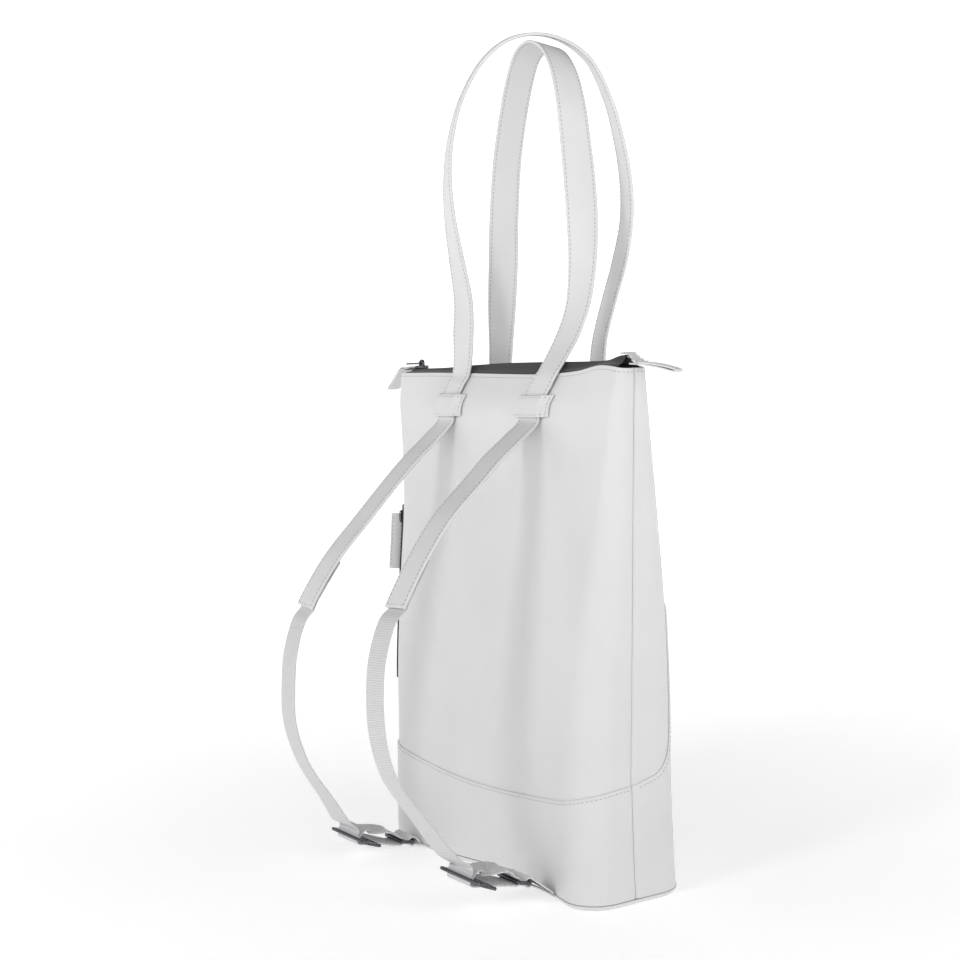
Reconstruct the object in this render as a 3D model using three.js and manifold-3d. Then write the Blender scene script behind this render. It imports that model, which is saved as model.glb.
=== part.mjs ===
import * as THREE from 'three';
import { mergeVertices } from 'three/addons/utils/BufferGeometryUtils.js';
import Module from 'manifold-3d';

// A white leather tote that is also worn as a backpack. Millimetres, +Z up, origin on the floor
// under the middle of the bag. The back panel with the shoulder straps faces -Y, and the two
// side seams stand at +X and -X.

// Bag body
const panelHeight = 449;
const topWidth = 354;
const baseDepth = 108;
const baseCorner = 31;
const wall = 1.8;
const fit = 0.3;
const seamHeight = 4;
const bootHeight = 79;
const bootSideHeight = 100;
const pocketHeight = 250;

// Zip along the mouth
const tapeThickness = 1.2;
const tapeBelow = 8;
const tapeAbove = 10;
const mouthOpening = 8;
const tapeEndInset = 9;
const sliderLength = 15;
const sliderWidth = 9;
const sliderThickness = 3;
const sliderInset = 21;
const bridgeRadius = 3.9;
const bridgeWire = 1.8;
const bridgeWidth = 2.4;
const edgeBreak = 0.5;
const pullerLength = 26;
const pullerWidth = 8;
const pullerThickness = 1.6;
const zipTabLength = 46;
const zipTabWidth = 24;
const zipTabThickness = 1.5;
const zipTabDroop = 18;
const zipTabTurn = 24;
const zipTabTip = 12;

// Zip in the left side seam
const sideZipTop = 322;
const sideZipLength = 168;
const sideZipWidth = 10;
const sideZipPlace = 0.85;
const sideSliderLength = 12;
const sideSliderWidth = 8;
const sideSliderThickness = 2.4;
const pullLength = 54;
const pullWidth = 12;
const pullThickness = 2.2;

// Leather straps, their keepers and anchors
const strapWidth = 28;
const strapThickness = 3;
const strapOffset = 67;
const handleRise = 300;
const strapBow = 204;
const keeperHeight = 420;
const keeperWidth = 48;
const keeperDepth = 20;
const keeperThickness = 1.8;
const anchorHeight = 385;
const anchorLength = 48;

// Webbing and hardware at the lower ends
const webbingWidth = 25;
const webbingThickness = 1.6;
const ringOffset = 105;
const ringReach = 24;
const ringLength = 33;
const ringWidth = 16;
const wire = 3.4;
const buckleReach = 70;
const buckleLength = 48;
const buckleWidth = 25;
const buckleBar = 4;
const buckleThickness = 3;
const tabWidth = 26;
const tabThickness = 1.8;

const halfDepth = baseDepth / 2;
const halfTop = topWidth / 2;
const slotWidth = (buckleWidth - 3 * buckleBar) / 2;
const ringBar = (ringWidth - wire) / 2;

// Sections of the bag from the floor up: height as a share of the panel height, half width as a
// share of half the top width, back and front depth as shares of half the base depth, and corner
// radius as a share of the base corner
const bodySections = [
  { rise: 0.00, width: 0.914, back: 0.963, front: 1.083, corner: 1.00 },
  { rise: 0.06, width: 0.907, back: 0.972, front: 1.080, corner: 1.00 },
  { rise: 0.22, width: 0.903, back: 0.935, front: 1.056, corner: 0.98 },
  { rise: 0.38, width: 0.923, back: 0.852, front: 1.000, corner: 0.94 },
  { rise: 0.55, width: 0.945, back: 0.685, front: 0.878, corner: 0.84 },
  { rise: 0.72, width: 0.962, back: 0.481, front: 0.678, corner: 0.66 },
  { rise: 0.86, width: 0.981, back: 0.389, front: 0.472, corner: 0.46 },
  { rise: 0.94, width: 0.992, back: 0.352, front: 0.348, corner: 0.32 },
  { rise: 1.00, width: 1.000, back: 0.260, front: 0.259, corner: 0.24 },
];

// How far the middle of each face stands out from its corners, as a share of half the base depth
const faceSwell = [
  { rise: 0.00, back: 0.00, front: 0.00 },
  { rise: 0.25, back: -0.03, front: 0.04 },
  { rise: 0.50, back: -0.06, front: 0.05 },
  { rise: 0.75, back: 0.00, front: 0.03 },
  { rise: 0.88, back: 0.13, front: 0.02 },
  { rise: 0.93, back: 0.14, front: 0.01 },
  { rise: 1.00, back: 0.00, front: 0.00 },
];

// How far the lower back edge is lifted and pushed in, across the bag: place as a share of half
// the top width, lift and push as shares of the height of the base seam and of the base corner
const baseFolds = [
  { across: -1.00, lift: 0.00, push: 0.00 },
  { across: -0.60, lift: 0.00, push: 0.00 },
  { across: -0.48, lift: 0.01, push: 0.00 },
  { across: -0.30, lift: 0.20, push: 0.02 },
  { across: 0.00, lift: 0.80, push: 0.15 },
  { across: 0.23, lift: 1.30, push: 0.25 },
  { across: 0.43, lift: 1.40, push: 0.25 },
  { across: 0.57, lift: 1.00, push: 0.16 },
  { across: 0.70, lift: 0.45, push: 0.07 },
  { across: 0.80, lift: 0.12, push: 0.02 },
  { across: 0.90, lift: 0.01, push: 0.00 },
  { across: 1.00, lift: 0.01, push: 0.00 },
];

// The wave of the mouth: place as a share of half the top width, lift of the hem and the tape that
// stands above it as shares of the tape's height
const mouthWave = [
  { across: -1.00, lift: 0.20, tape: 0.35 },
  { across: -0.60, lift: 0.12, tape: 0.42 },
  { across: -0.30, lift: 0.00, tape: 0.70 },
  { across: 0.05, lift: -0.17, tape: 0.95 },
  { across: 0.38, lift: -0.27, tape: 1.00 },
  { across: 0.66, lift: -0.07, tape: 0.75 },
  { across: 0.82, lift: 0.33, tape: 0.40 },
  { across: 0.90, lift: 0.30, tape: 0.75 },
  { across: 1.00, lift: 0.05, tape: 1.20 },
];

// Top line of the front pocket near each side seam: place between the seam at 0 and the middle of
// the front at a half, and height as a share of the climb from the boot to the pocket's mouth
const pocketEdge = [
  { place: 0.000, climb: 0.000 },
  { place: 0.040, climb: 0.020 },
  { place: 0.080, climb: 0.045 },
  { place: 0.114, climb: 0.095 },
  { place: 0.148, climb: 0.185 },
  { place: 0.163, climb: 0.280 },
  { place: 0.171, climb: 0.420 },
  { place: 0.176, climb: 0.700 },
  { place: 0.182, climb: 0.950 },
  { place: 0.192, climb: 0.990 },
  { place: 0.216, climb: 1.000 },
];

// The left strap's handle from its keeper on the back to its seat on the front: place across as a
// share of the strap offset, out as a share of half the base depth, rise above the hem as a share
// of the handle rise, and the turn and tilt of the strap's width in degrees
const leftHandle = [
  { across: -0.93, out: -0.20, rise: 0.13, turn: 8, tilt: 0 },
  { across: -0.99, out: -0.14, rise: 0.227, turn: 3, tilt: 0 },
  { across: -1.06, out: -0.19, rise: 0.35, turn: -5, tilt: 0 },
  { across: -1.11, out: -0.26, rise: 0.477, turn: -14, tilt: 0 },
  { across: -1.12, out: -0.28, rise: 0.60, turn: -20, tilt: 0 },
  { across: -1.06, out: -0.24, rise: 0.72, turn: -24, tilt: -3 },
  { across: -0.90, out: -0.13, rise: 0.84, turn: -27, tilt: -7 },
  { across: -0.60, out: 0.09, rise: 0.95, turn: -29, tilt: -10 },
  { across: -0.27, out: 0.32, rise: 1.000, turn: -30, tilt: -11 },
  { across: 0.09, out: 0.56, rise: 1.007, turn: -30, tilt: -11 },
  { across: 0.42, out: 0.81, rise: 0.980, turn: -29, tilt: -10 },
  { across: 0.75, out: 1.04, rise: 0.913, turn: -28, tilt: -8 },
  { across: 0.99, out: 1.21, rise: 0.79, turn: -26, tilt: -4 },
  { across: 1.11, out: 1.30, rise: 0.67, turn: -23, tilt: 0 },
  { across: 1.18, out: 1.35, rise: 0.553, turn: -19, tilt: 0 },
  { across: 1.18, out: 1.35, rise: 0.437, turn: -16, tilt: 0 },
  { across: 1.09, out: 1.28, rise: 0.32, turn: -11, tilt: 0 },
  { across: 0.97, out: 1.16, rise: 0.207, turn: -11, tilt: 0 },
  { across: 0.93, out: 0.98, rise: 0.09, turn: -12, tilt: 0 },
  { across: 0.93, out: 0.86, rise: -0.05, turn: -9, tilt: 0 },
];

// The right strap's handle, which crosses under the left one, in the same columns
const rightHandle = [
  { across: 1.22, out: 0.01, rise: 0.087, turn: 9, tilt: 0 },
  { across: 1.24, out: 0.17, rise: 0.147, turn: 10, tilt: 0 },
  { across: 1.24, out: 0.28, rise: 0.203, turn: 13, tilt: 0 },
  { across: 1.21, out: 0.40, rise: 0.32, turn: 25, tilt: 0 },
  { across: 1.16, out: 0.46, rise: 0.437, turn: 42, tilt: 0 },
  { across: 1.08, out: 0.50, rise: 0.553, turn: 58, tilt: 0 },
  { across: 0.98, out: 0.53, rise: 0.67, turn: 68, tilt: -2 },
  { across: 0.86, out: 0.56, rise: 0.79, turn: 76, tilt: -5 },
  { across: 0.66, out: 0.60, rise: 0.89, turn: 82, tilt: -8 },
  { across: 0.40, out: 0.62, rise: 0.953, turn: 86, tilt: -10 },
  { across: 0.10, out: 0.63, rise: 0.975, turn: 87, tilt: -10 },
  { across: -0.18, out: 0.65, rise: 0.955, turn: 84, tilt: -8 },
  { across: -0.40, out: 0.67, rise: 0.89, turn: 80, tilt: -5 },
  { across: -0.62, out: 0.69, rise: 0.78, turn: 78, tilt: -2 },
  { across: -0.79, out: 0.70, rise: 0.66, turn: 75, tilt: 0 },
  { across: -0.92, out: 0.71, rise: 0.49, turn: 66, tilt: 0 },
  { across: -0.98, out: 0.71, rise: 0.33, turn: 52, tilt: 0 },
  { across: -1.03, out: 0.70, rise: 0.20, turn: 36, tilt: 0 },
  { across: -1.04, out: 0.67, rise: 0.087, turn: 19, tilt: 0 },
  { across: -1.03, out: 0.62, rise: -0.04, turn: 10, tilt: 0 },
];

// The shoulder straps below the keepers: height as a share of the keeper height, bow away from the
// bag as a share of the strap bow
const leftShoulder = [
  { height: 0.927, bow: 0.225, turn: 2 },
  { height: 0.886, bow: 0.325, turn: 2 },
  { height: 0.843, bow: 0.415, turn: 2 },
  { height: 0.761, bow: 0.575, turn: 2 },
  { height: 0.681, bow: 0.728, turn: 2 },
  { height: 0.599, bow: 0.842, turn: 1 },
  { height: 0.582, bow: 0.859, turn: 1 },
];
const rightShoulder = [
  { height: 0.932, bow: 0.245, turn: 5 },
  { height: 0.895, bow: 0.352, turn: 5 },
  { height: 0.856, bow: 0.446, turn: 5 },
  { height: 0.783, bow: 0.622, turn: 5 },
  { height: 0.711, bow: 0.747, turn: 4 },
  { height: 0.638, bow: 0.850, turn: 3 },
  { height: 0.621, bow: 0.872, turn: 3 },
];
const leftWebbing = [
  { height: 0.556, bow: 0.885, turn: 0 },
  { height: 0.490, bow: 0.927, turn: 0 },
  { height: 0.428, bow: 0.938, turn: 0 },
  { height: 0.339, bow: 0.932, turn: 0 },
  { height: 0.245, bow: 0.868, turn: 0 },
  { height: 0.145, bow: 0.735, turn: 7 },
  { height: 0.093, bow: 0.667, turn: 13 },
];

// Lie of the hardware at the lower end of each shoulder strap: distances out from the bag and
// heights as shares of the ring reach and the buckle reach, and angles in degrees
const hardwareLie = {
  left: { side: -1, ringOut: 0.77, ringUp: 0.42, ringPitch: 10, buckleOut: 0.93, buckleUp: 0.28, bucklePitch: 9 },
  right: { side: 1, ringOut: 1.27, ringUp: 1.02, ringPitch: 14, buckleOut: 1.09, buckleUp: 0.48, bucklePitch: 12 },
};
const buckleTurn = 18;
const buckleTilt = -10;
const rightWebbing = [
  { height: 0.600, bow: 0.905, turn: 3 },
  { height: 0.528, bow: 0.970, turn: 3 },
  { height: 0.453, bow: 0.995, turn: 3 },
  { height: 0.375, bow: 0.995, turn: 3 },
  { height: 0.296, bow: 0.955, turn: 3 },
  { height: 0.210, bow: 0.838, turn: 7 },
  { height: 0.132, bow: 0.722, turn: 13 },
];

const leather = new THREE.MeshStandardMaterial({ color: 0xe9e9ea, roughness: 0.55, metalness: 0 });
const leatherDark = new THREE.MeshStandardMaterial({ color: 0xd9d9db, roughness: 0.6, metalness: 0 });
const tapeCloth = new THREE.MeshStandardMaterial({ color: 0x3b3b3d, roughness: 0.8, metalness: 0 });
const webCloth = new THREE.MeshStandardMaterial({ color: 0xdedee0, roughness: 0.85, metalness: 0 });
const gunmetal = new THREE.MeshStandardMaterial({ color: 0x3c3c40, roughness: 0.3, metalness: 1 });

const bag = new THREE.Group();

function add(name, geometry, material) {
  const mesh = new THREE.Mesh(geometry, material);
  mesh.name = name;
  bag.add(mesh);
  return mesh;
}

// Value of one column of a table at a place between its rows, on a smooth curve
function lookUp(table, key, column, place) {
  const last = table.length - 1;
  const clamped = Math.min(Math.max(place, table[0][key]), table[last][key]);
  let i = 0;
  while (i < last - 1 && clamped > table[i + 1][key]) i += 1;
  const t = (clamped - table[i][key]) / (table[i + 1][key] - table[i][key]);
  const slope = (k) => {
    const a = Math.max(k - 1, 0);
    const b = Math.min(k + 1, last);
    return (table[b][column] - table[a][column]) / (table[b][key] - table[a][key]);
  };
  const run = table[i + 1][key] - table[i][key];
  const start = table[i][column];
  const end = table[i + 1][column];
  const s = t * t * (3 - 2 * t);
  const bend = t * (1 - t) * run;
  return start + (end - start) * s + bend * ((1 - t) * slope(i) - t * slope(i + 1));
}

// A smooth step from 0 at the first edge to 1 at the second
function ease(from, to, value) {
  const t = Math.min(Math.max((value - from) / (to - from), 0), 1);
  return t * t * (3 - 2 * t);
}

// One closed solid from two grids of points with the same rows and columns, joined round the rim
function slab(outer, inner) {
  const rows = outer.length;
  const cols = outer[0].length;
  const under = rows * cols;
  const faces = [];
  const quad = (a, b, c, d) => faces.push(a, b, c, a, c, d);
  for (let i = 0; i < rows - 1; i += 1) {
    for (let j = 0; j < cols - 1; j += 1) {
      const a = i * cols + j;
      quad(a, a + 1, a + cols + 1, a + cols);
      quad(under + a, under + a + cols, under + a + cols + 1, under + a + 1);
    }
  }
  for (let j = 0; j < cols - 1; j += 1) {
    const e = (rows - 1) * cols + j;
    quad(j + 1, j, under + j, under + j + 1);
    quad(e, e + 1, under + e + 1, under + e);
  }
  for (let i = 0; i < rows - 1; i += 1) {
    const a = i * cols;
    const b = a + cols - 1;
    quad(a, a + cols, under + a + cols, under + a);
    quad(b + cols, b, under + b, under + b + cols);
  }
  return solid([...outer.flat(), ...inner.flat()], faces);
}

// A shallow bowl from two stacks of closed rings, each ending in a middle point
function bowl(outer, outerMiddle, inner, innerMiddle) {
  const around = outer[0].length;
  const stack = outer.length;
  const under = stack * around + 1;
  const faces = [];
  for (let j = 0; j < around; j += 1) {
    const k = (j + 1) % around;
    for (let i = 0; i < stack - 1; i += 1) {
      const a = i * around;
      const b = a + around;
      faces.push(a + j, a + k, b + k, a + j, b + k, b + j);
      faces.push(under + a + j, under + b + k, under + a + k, under + a + j, under + b + j, under + b + k);
    }
    const e = (stack - 1) * around;
    faces.push(e + j, e + k, stack * around);
    faces.push(under + e + j, under + stack * around, under + e + k);
    faces.push(k, j, under + j, k, under + j, under + k);
  }
  return solid([...outer.flat(), outerMiddle, ...inner.flat(), innerMiddle], faces);
}

// A geometry from points and faces, turned so that its faces point out
function solid(points, faces) {
  let volume = 0;
  for (let i = 0; i < faces.length; i += 3) {
    const [a, b, c] = [points[faces[i]], points[faces[i + 1]], points[faces[i + 2]]];
    volume += a.dot(new THREE.Vector3().crossVectors(b, c));
  }
  const turned = volume < 0 ? faces.slice().reverse() : faces;
  const geometry = new THREE.BufferGeometry();
  geometry.setAttribute('position', new THREE.Float32BufferAttribute(points.flatMap((p) => p.toArray()), 3));
  geometry.setIndex(turned);
  geometry.computeVertexNormals();
  return geometry;
}

// Evenly spaced numbers from one end to the other
function spread(from, to, steps) {
  return Array.from({ length: steps + 1 }, (_, i) => from + ((to - from) * i) / steps);
}

// How the lower back edge is lifted and pushed in, and how the two faces hollow or fill out
function settle(point) {
  const across = point.x / halfTop;
  const rise = point.z / panelHeight;
  const atBack = ease(0.25 * halfDepth, 0.8 * halfDepth, -point.y);
  const low = 1 - ease(0, 0.25, rise);
  const lift = lookUp(baseFolds, 'across', 'lift', across) * seamHeight;
  const push = lookUp(baseFolds, 'across', 'push', across) * baseCorner;
  const middle = 1 - ease(0.3, 0.85, Math.abs(across));
  const half = Math.sign(point.y);
  const swell = lookUp(faceSwell, 'rise', half < 0 ? 'back' : 'front', rise) * halfDepth;
  const onFace = ease(0.05 * halfDepth, 0.2 * halfDepth, Math.abs(point.y));
  point.z += lift * low * atBack;
  point.y += push * low * atBack + half * swell * middle * onFace;
  return point;
}

// The mouth's wave lifts the hem
function mouthLift(x, z) {
  const near = ease(0.9 * panelHeight, panelHeight, z);
  return lookUp(mouthWave, 'across', 'lift', x / halfTop) * tapeAbove * near;
}

// A point on the bag's skin. Half is -1 for the back and +1 for the front; place runs from 0 at
// the right side seam to 1 at the left one; inset is measured inward from the outer face
function skin(half, place, z, inset) {
  const rise = Math.min(Math.max(z / panelHeight, 0), 1);
  const a = lookUp(bodySections, 'rise', 'width', rise) * halfTop;
  const d = lookUp(bodySections, 'rise', half < 0 ? 'back' : 'front', rise) * halfDepth;
  const corner = Math.min(lookUp(bodySections, 'rise', 'corner', rise) * baseCorner, d - fit);
  const mirrored = place > 0.5;
  const t = (mirrored ? 1 - place : place) / 0.5;
  const turn = Math.PI / 2;
  const sideShare = 0.16;
  const cornerShare = 0.5;
  const outX = a - inset;
  const outY = d - inset;
  const radius = Math.max(corner - inset, fit);
  let x = outX;
  let y = fit / 2 + ((outY - radius - fit / 2) * t) / sideShare;
  if (t > cornerShare) {
    x = ((outX - radius) * (1 - t)) / (1 - cornerShare);
    y = outY;
  } else if (t > sideShare) {
    const angle = (turn * (t - sideShare)) / (cornerShare - sideShare);
    x = outX - radius + radius * Math.cos(angle);
    y = outY - radius + radius * Math.sin(angle);
  }
  const point = new THREE.Vector3(mirrored ? -x : x, half * y, z);
  point.z += mouthLift(point.x, z);
  return settle(point);
}

// Stations from seam to seam: the straight side, the corner and half the face, then back again
function stations(sideSteps, cornerSteps, faceSteps) {
  const half = [
    ...spread(0, 0.08, sideSteps),
    ...spread(0.08, 0.25, cornerSteps).slice(1),
    ...spread(0.25, 0.5, faceSteps).slice(1),
  ];
  return [...half, ...half.slice(0, -1).reverse().map((s) => 1 - s)];
}

// A leather skin of rows, each with its places and its height at a place, one wall thick, that
// stands proud of the body by a distance
function skinPatch(half, rows, proud, thickness) {
  const grid = (inset) => rows.map((row) => row.places.map((place) => skin(half, place, row.height(place), inset)));
  return slab(grid(-proud), grid(thickness - proud));
}

// Rows from the base seam up to a line, at shares of the way between them
function rowsTo(places, top, shares) {
  const bottom = seamHeight + fit;
  return shares.map((share) => ({ places, height: (place) => bottom + (top(place) - bottom) * share }));
}

// Height of the seam where the boot meets the upper leather: lowest over the middle of the face
function bootLine(place) {
  return bootHeight + (bootSideHeight - bootHeight) * Math.cos(Math.PI * place) ** 2;
}

// Top line of the front pocket across the front
function pocketLine(place) {
  const climb = lookUp(pocketEdge, 'place', 'climb', Math.min(place, 1 - place));
  return bootSideHeight + (pocketHeight - bootSideHeight) * climb;
}

// Stations across the front that follow the pocket's side edges
function pocketStations() {
  const half = [...pocketEdge.map((row) => row.place), ...spread(0.25, 0.5, 5)];
  return [...half, ...half.slice(0, -1).reverse().map((s) => 1 - s)];
}

function addBody() {
  const places = stations(2, 5, 6);
  const shares = [0, 0.05, 0.11, 0.17, 0.22, 0.34, 0.47, 0.60, 0.73, 0.85, 0.94, 1];
  const hem = rowsTo(places, () => panelHeight, shares);
  add('back_panel', skinPatch(-1, hem, 0, wall), leather);
  add('front_panel', skinPatch(1, hem, 0, wall), leather);
  const proud = wall + 3 * fit;
  add('lower_back', skinPatch(-1, rowsTo(places, bootLine, spread(0, 1, 5)), proud, wall), leather);
  add('front_pocket', skinPatch(1, rowsTo(pocketStations(), pocketLine, spread(0, 1, 6)), proud, wall), leather);
}

// The base turns up round its edge to the base seam
function addBase() {
  const places = stations(1, 4, 3);
  const ring = (z, inset) => [
    ...places.map((place) => skin(-1, place, z, inset)),
    ...places.map((place) => skin(1, 1 - place, z, inset)),
  ];
  const edge = seamHeight - fit;
  const proud = wall + fit;
  const angles = spread(0, Math.PI / 2, 3);
  const outer = angles.map((t) => ring(seamHeight * (1 - Math.sin(t)), edge * (1 - Math.cos(t)) - proud));
  const inner = angles.map((t) => {
    const radius = edge - wall;
    return ring(seamHeight - radius * Math.sin(t), wall - proud + radius * (1 - Math.cos(t)));
  });
  outer.push(ring(0, halfDepth / 2));
  inner.push(ring(wall, halfDepth / 2));
  const middle = new THREE.Vector3(0, 0, 0);
  const innerMiddle = new THREE.Vector3(0, 0, wall);
  add('base_panel', bowl(outer, middle, inner, innerMiddle), leatherDark);
}

// A flat strip along a route. Each row has its middle, the direction of its width and the
// direction of its outer face
function ribbon(rows, width, thickness) {
  const side = (shift, lift) => (row) => row.middle.clone()
    .addScaledVector(row.across, shift * width)
    .addScaledVector(row.face, lift * thickness);
  const grid = (lift) => rows.map((row) => [side(-0.5, lift)(row), side(0.5, lift)(row)]);
  return slab(grid(0.5), grid(-0.5));
}

// Rows of a ribbon along a smooth curve through points that carry a width direction in degrees
function routeRows(stops, steps) {
  const curve = new THREE.CatmullRomCurve3(stops.map((s) => s.at), false, 'centripetal');
  return spread(0, 1, steps).map((t) => {
    const span = t * (stops.length - 1);
    const i = Math.min(Math.floor(span), stops.length - 2);
    const angle = (key) => THREE.MathUtils.degToRad(
      THREE.MathUtils.lerp(stops[i][key] ?? 0, stops[i + 1][key] ?? 0, span - i));
    const [turn, tilt] = [angle('turn'), angle('tilt')];
    const along = curve.getTangent(t);
    const level = Math.cos(tilt);
    const width = new THREE.Vector3(Math.cos(turn) * level, Math.sin(turn) * level, Math.sin(tilt));
    const across = width.addScaledVector(along, -width.dot(along)).normalize();
    const face = new THREE.Vector3().crossVectors(across, along).normalize();
    return { middle: curve.getPoint(t), across, face };
  });
}

// Place across the bag of a shoulder strap: from its keeper out to its ring
function shoulderAcross(side, z) {
  return side * THREE.MathUtils.lerp(ringOffset, strapOffset, Math.min(z / keeperHeight, 1));
}

function stopsOfHandle(table) {
  return table.map((row) => ({
    at: new THREE.Vector3(row.across * strapOffset, row.out * halfDepth, panelHeight + row.rise * handleRise),
    turn: row.turn,
    tilt: row.tilt,
  }));
}

function stopsOfShoulder(table, side) {
  return table.map((row) => {
    const z = row.height * keeperHeight;
    return { at: new THREE.Vector3(shoulderAcross(side, z), -row.bow * strapBow, z), turn: row.turn };
  });
}

// A point on the flat of a face at a distance from the middle plane and a height
function facePoint(half, x, z, proud) {
  const rise = z / panelHeight;
  const a = lookUp(bodySections, 'rise', 'width', rise) * halfTop;
  const d = lookUp(bodySections, 'rise', half < 0 ? 'back' : 'front', rise) * halfDepth;
  const corner = Math.min(lookUp(bodySections, 'rise', 'corner', rise) * baseCorner, d - fit);
  return skin(half, 0.5 - (0.25 * x) / (a - corner), z, -proud);
}

// A stop where a strap lies on the bag, its width level with the face under it
function seatStop(half, x, z, more) {
  const proud = 2 * fit + strapThickness / 2 + more;
  const reach = strapWidth / 2;
  const slope = facePoint(half, x + reach, z, 0).sub(facePoint(half, x - reach, z, 0));
  const turn = THREE.MathUtils.radToDeg(Math.atan2(slope.y, slope.x));
  return { at: facePoint(half, x, z, proud), turn };
}

function addStrap(name, side, handle, shoulder, lean) {
  const keeperSeat = [-0.7, -0.4, 0.1, 0.6, 1.0, 1.45].map((share) => {
    const x = side * strapOffset + Math.max(share, 0) * lean;
    const more = fit * (ease(-0.5, -0.7, share) + 3 * ease(0.5, 1, share) + 0.3);
    return seatStop(-1, x, keeperHeight + share * keeperDepth, more);
  });
  const anchorSeat = [0, 0.25, 0.5, 0.75, 1].map((share) => {
    const more = 2 * fit + strapThickness * Math.max(0.25 - share, 0) * 3;
    return seatStop(1, -side * strapOffset * 0.96, anchorHeight - share * anchorLength, more);
  });
  const stops = [
    ...stopsOfShoulder(shoulder, side).reverse(),
    ...keeperSeat,
    ...stopsOfHandle(handle),
    ...anchorSeat,
  ];
  add(name, ribbon(routeRows(stops, 96), strapWidth, strapThickness), leather);
}

// A loop of leather that holds a strap against the back, sewn down at both ends
function addKeeper(name, side, lean) {
  const over = strapThickness + 4 * fit;
  const reach = strapWidth / 2;
  const steps = [-keeperWidth / 2, -reach - 6, -reach - 3, -reach - 1, 0];
  const places = [...steps, ...steps.slice(0, -1).reverse().map((x) => -x)];
  const flare = [3 * fit, 2 * fit, 2 * fit];
  const grid = (more) => [-0.5, 0, 0.5].map((share, row) => places.map((x) => {
    const rise = 1 - ease(reach + 1, reach + 6, Math.abs(x));
    const across = side * strapOffset + Math.max(share, 0) * lean + x;
    const proud = 2 * fit + (over + flare[row]) * rise + more;
    return facePoint(-1, across, keeperHeight + share * keeperDepth, proud);
  }));
  add(name, slab(grid(keeperThickness), grid(0)), leather);
}

// Half the opening between the zip's two tapes
function mouthHalf(x) {
  const end = halfTop - tapeEndInset;
  return fit + (mouthOpening / 2 - fit) * Math.max(1 - (x / end) ** 6, 0);
}

// One tape of the zip, sewn inside the hem and standing above it
function addTape(name, half) {
  const end = halfTop - tapeEndInset;
  const rows = spread(-end, end, 30);
  const grid = (inset) => rows.map((x) => {
    const hem = facePoint(half, x, panelHeight, -inset - fit);
    const foot = facePoint(half, x, panelHeight - tapeBelow, -inset - 2 * fit);
    const stand = lookUp(mouthWave, 'across', 'tape', x / halfTop) * tapeAbove;
    const edge = half * (mouthHalf(x) + wall + fit + tapeThickness - inset);
    const middle = hem.clone().setY(THREE.MathUtils.lerp(hem.y, edge, 0.6));
    const top = hem.clone().setY(edge);
    middle.z += 0.4 * stand;
    top.z += stand;
    return [foot, hem, middle, top];
  });
  add(name, slab(grid(wall + fit), grid(wall + fit + tapeThickness)), tapeCloth);
}

// Height of the tape's edge above the floor at a place across
function tapeTop(x) {
  const stand = lookUp(mouthWave, 'across', 'tape', x / halfTop) * tapeAbove;
  return panelHeight + mouthLift(x, panelHeight) + stand;
}

// A leather tab folded round the end of the zip, that droops past the side seam. Its rows are
// lengths from the tape's end as shares of the tab's length and falls as shares of its droop
function addZipTab(name, side, droop, turn) {
  const end = halfTop - tapeEndInset;
  const hem = panelHeight + mouthLift(side * halfTop, panelHeight);
  const high = Math.max(tapeTop(side * end), hem + 2 * zipTabThickness + fit) + 2 * fit + zipTabThickness / 2;
  const layer = zipTabThickness + fit;
  const seat = Math.min(high - layer, hem + layer + zipTabThickness);
  const pass = (tapeEndInset + 2) / zipTabLength;
  const path = [
    [-0.08, high],
    [0.04, high],
    [pass, seat + layer + fit],
    [0.6, seat - 0.42 * droop + layer],
    [0.97, seat - droop + layer / 2],
    [1, seat - droop - fit],
    [0.97, seat - droop - layer / 2],
    [0.6, seat - 0.42 * droop],
    [pass, seat],
    [0.1, seat + fit],
  ];
  const angle = THREE.MathUtils.degToRad(turn);
  const stops = path.map(([share, z]) => {
    const along = share * zipTabLength;
    const x = side * (end + along * Math.cos(angle));
    return { at: new THREE.Vector3(x, along * Math.sin(angle), z), turn: 90 + side * turn };
  });
  const rows = routeRows(stops, 27).map((row) => {
    const share = (Math.abs(row.middle.x) - end) / (zipTabLength * Math.cos(angle));
    const width = THREE.MathUtils.lerp(1, zipTabTip / zipTabWidth, ease(-0.1, 1, share));
    return { ...row, across: row.across.multiplyScalar(width) };
  });
  add(name, ribbon(rows, zipTabWidth, zipTabThickness), leather);
}

// Points of a rectangle with round corners, moved along its length by a shift
function roundedPoints(length, width, radius, shift = 0) {
  const corners = [[1, -1, -90], [1, 1, 0], [-1, 1, 90], [-1, -1, 180]];
  return corners.flatMap(([sx, sy, start]) => [0, 30, 60, 90].map((step) => {
    const angle = THREE.MathUtils.degToRad(start + step);
    const x = sx * (length / 2 - radius) + radius * Math.cos(angle) + shift;
    return new THREE.Vector2(x, sy * (width / 2 - radius) + radius * Math.sin(angle));
  }));
}

function rounded(length, width, radius, shift = 0) {
  return new THREE.Shape(roundedPoints(length, width, radius, shift));
}

// A flat plate of a given thickness, centred on its own plane, with its edges broken
function plate(shape, thickness, edge) {
  const depth = thickness - 2 * edge;
  const body = new THREE.ExtrudeGeometry(shape, {
    depth,
    bevelThickness: edge,
    bevelSize: edge,
    bevelOffset: -edge,
    bevelSegments: 1,
  });
  body.translate(0, 0, -depth / 2);
  return body;
}

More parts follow.
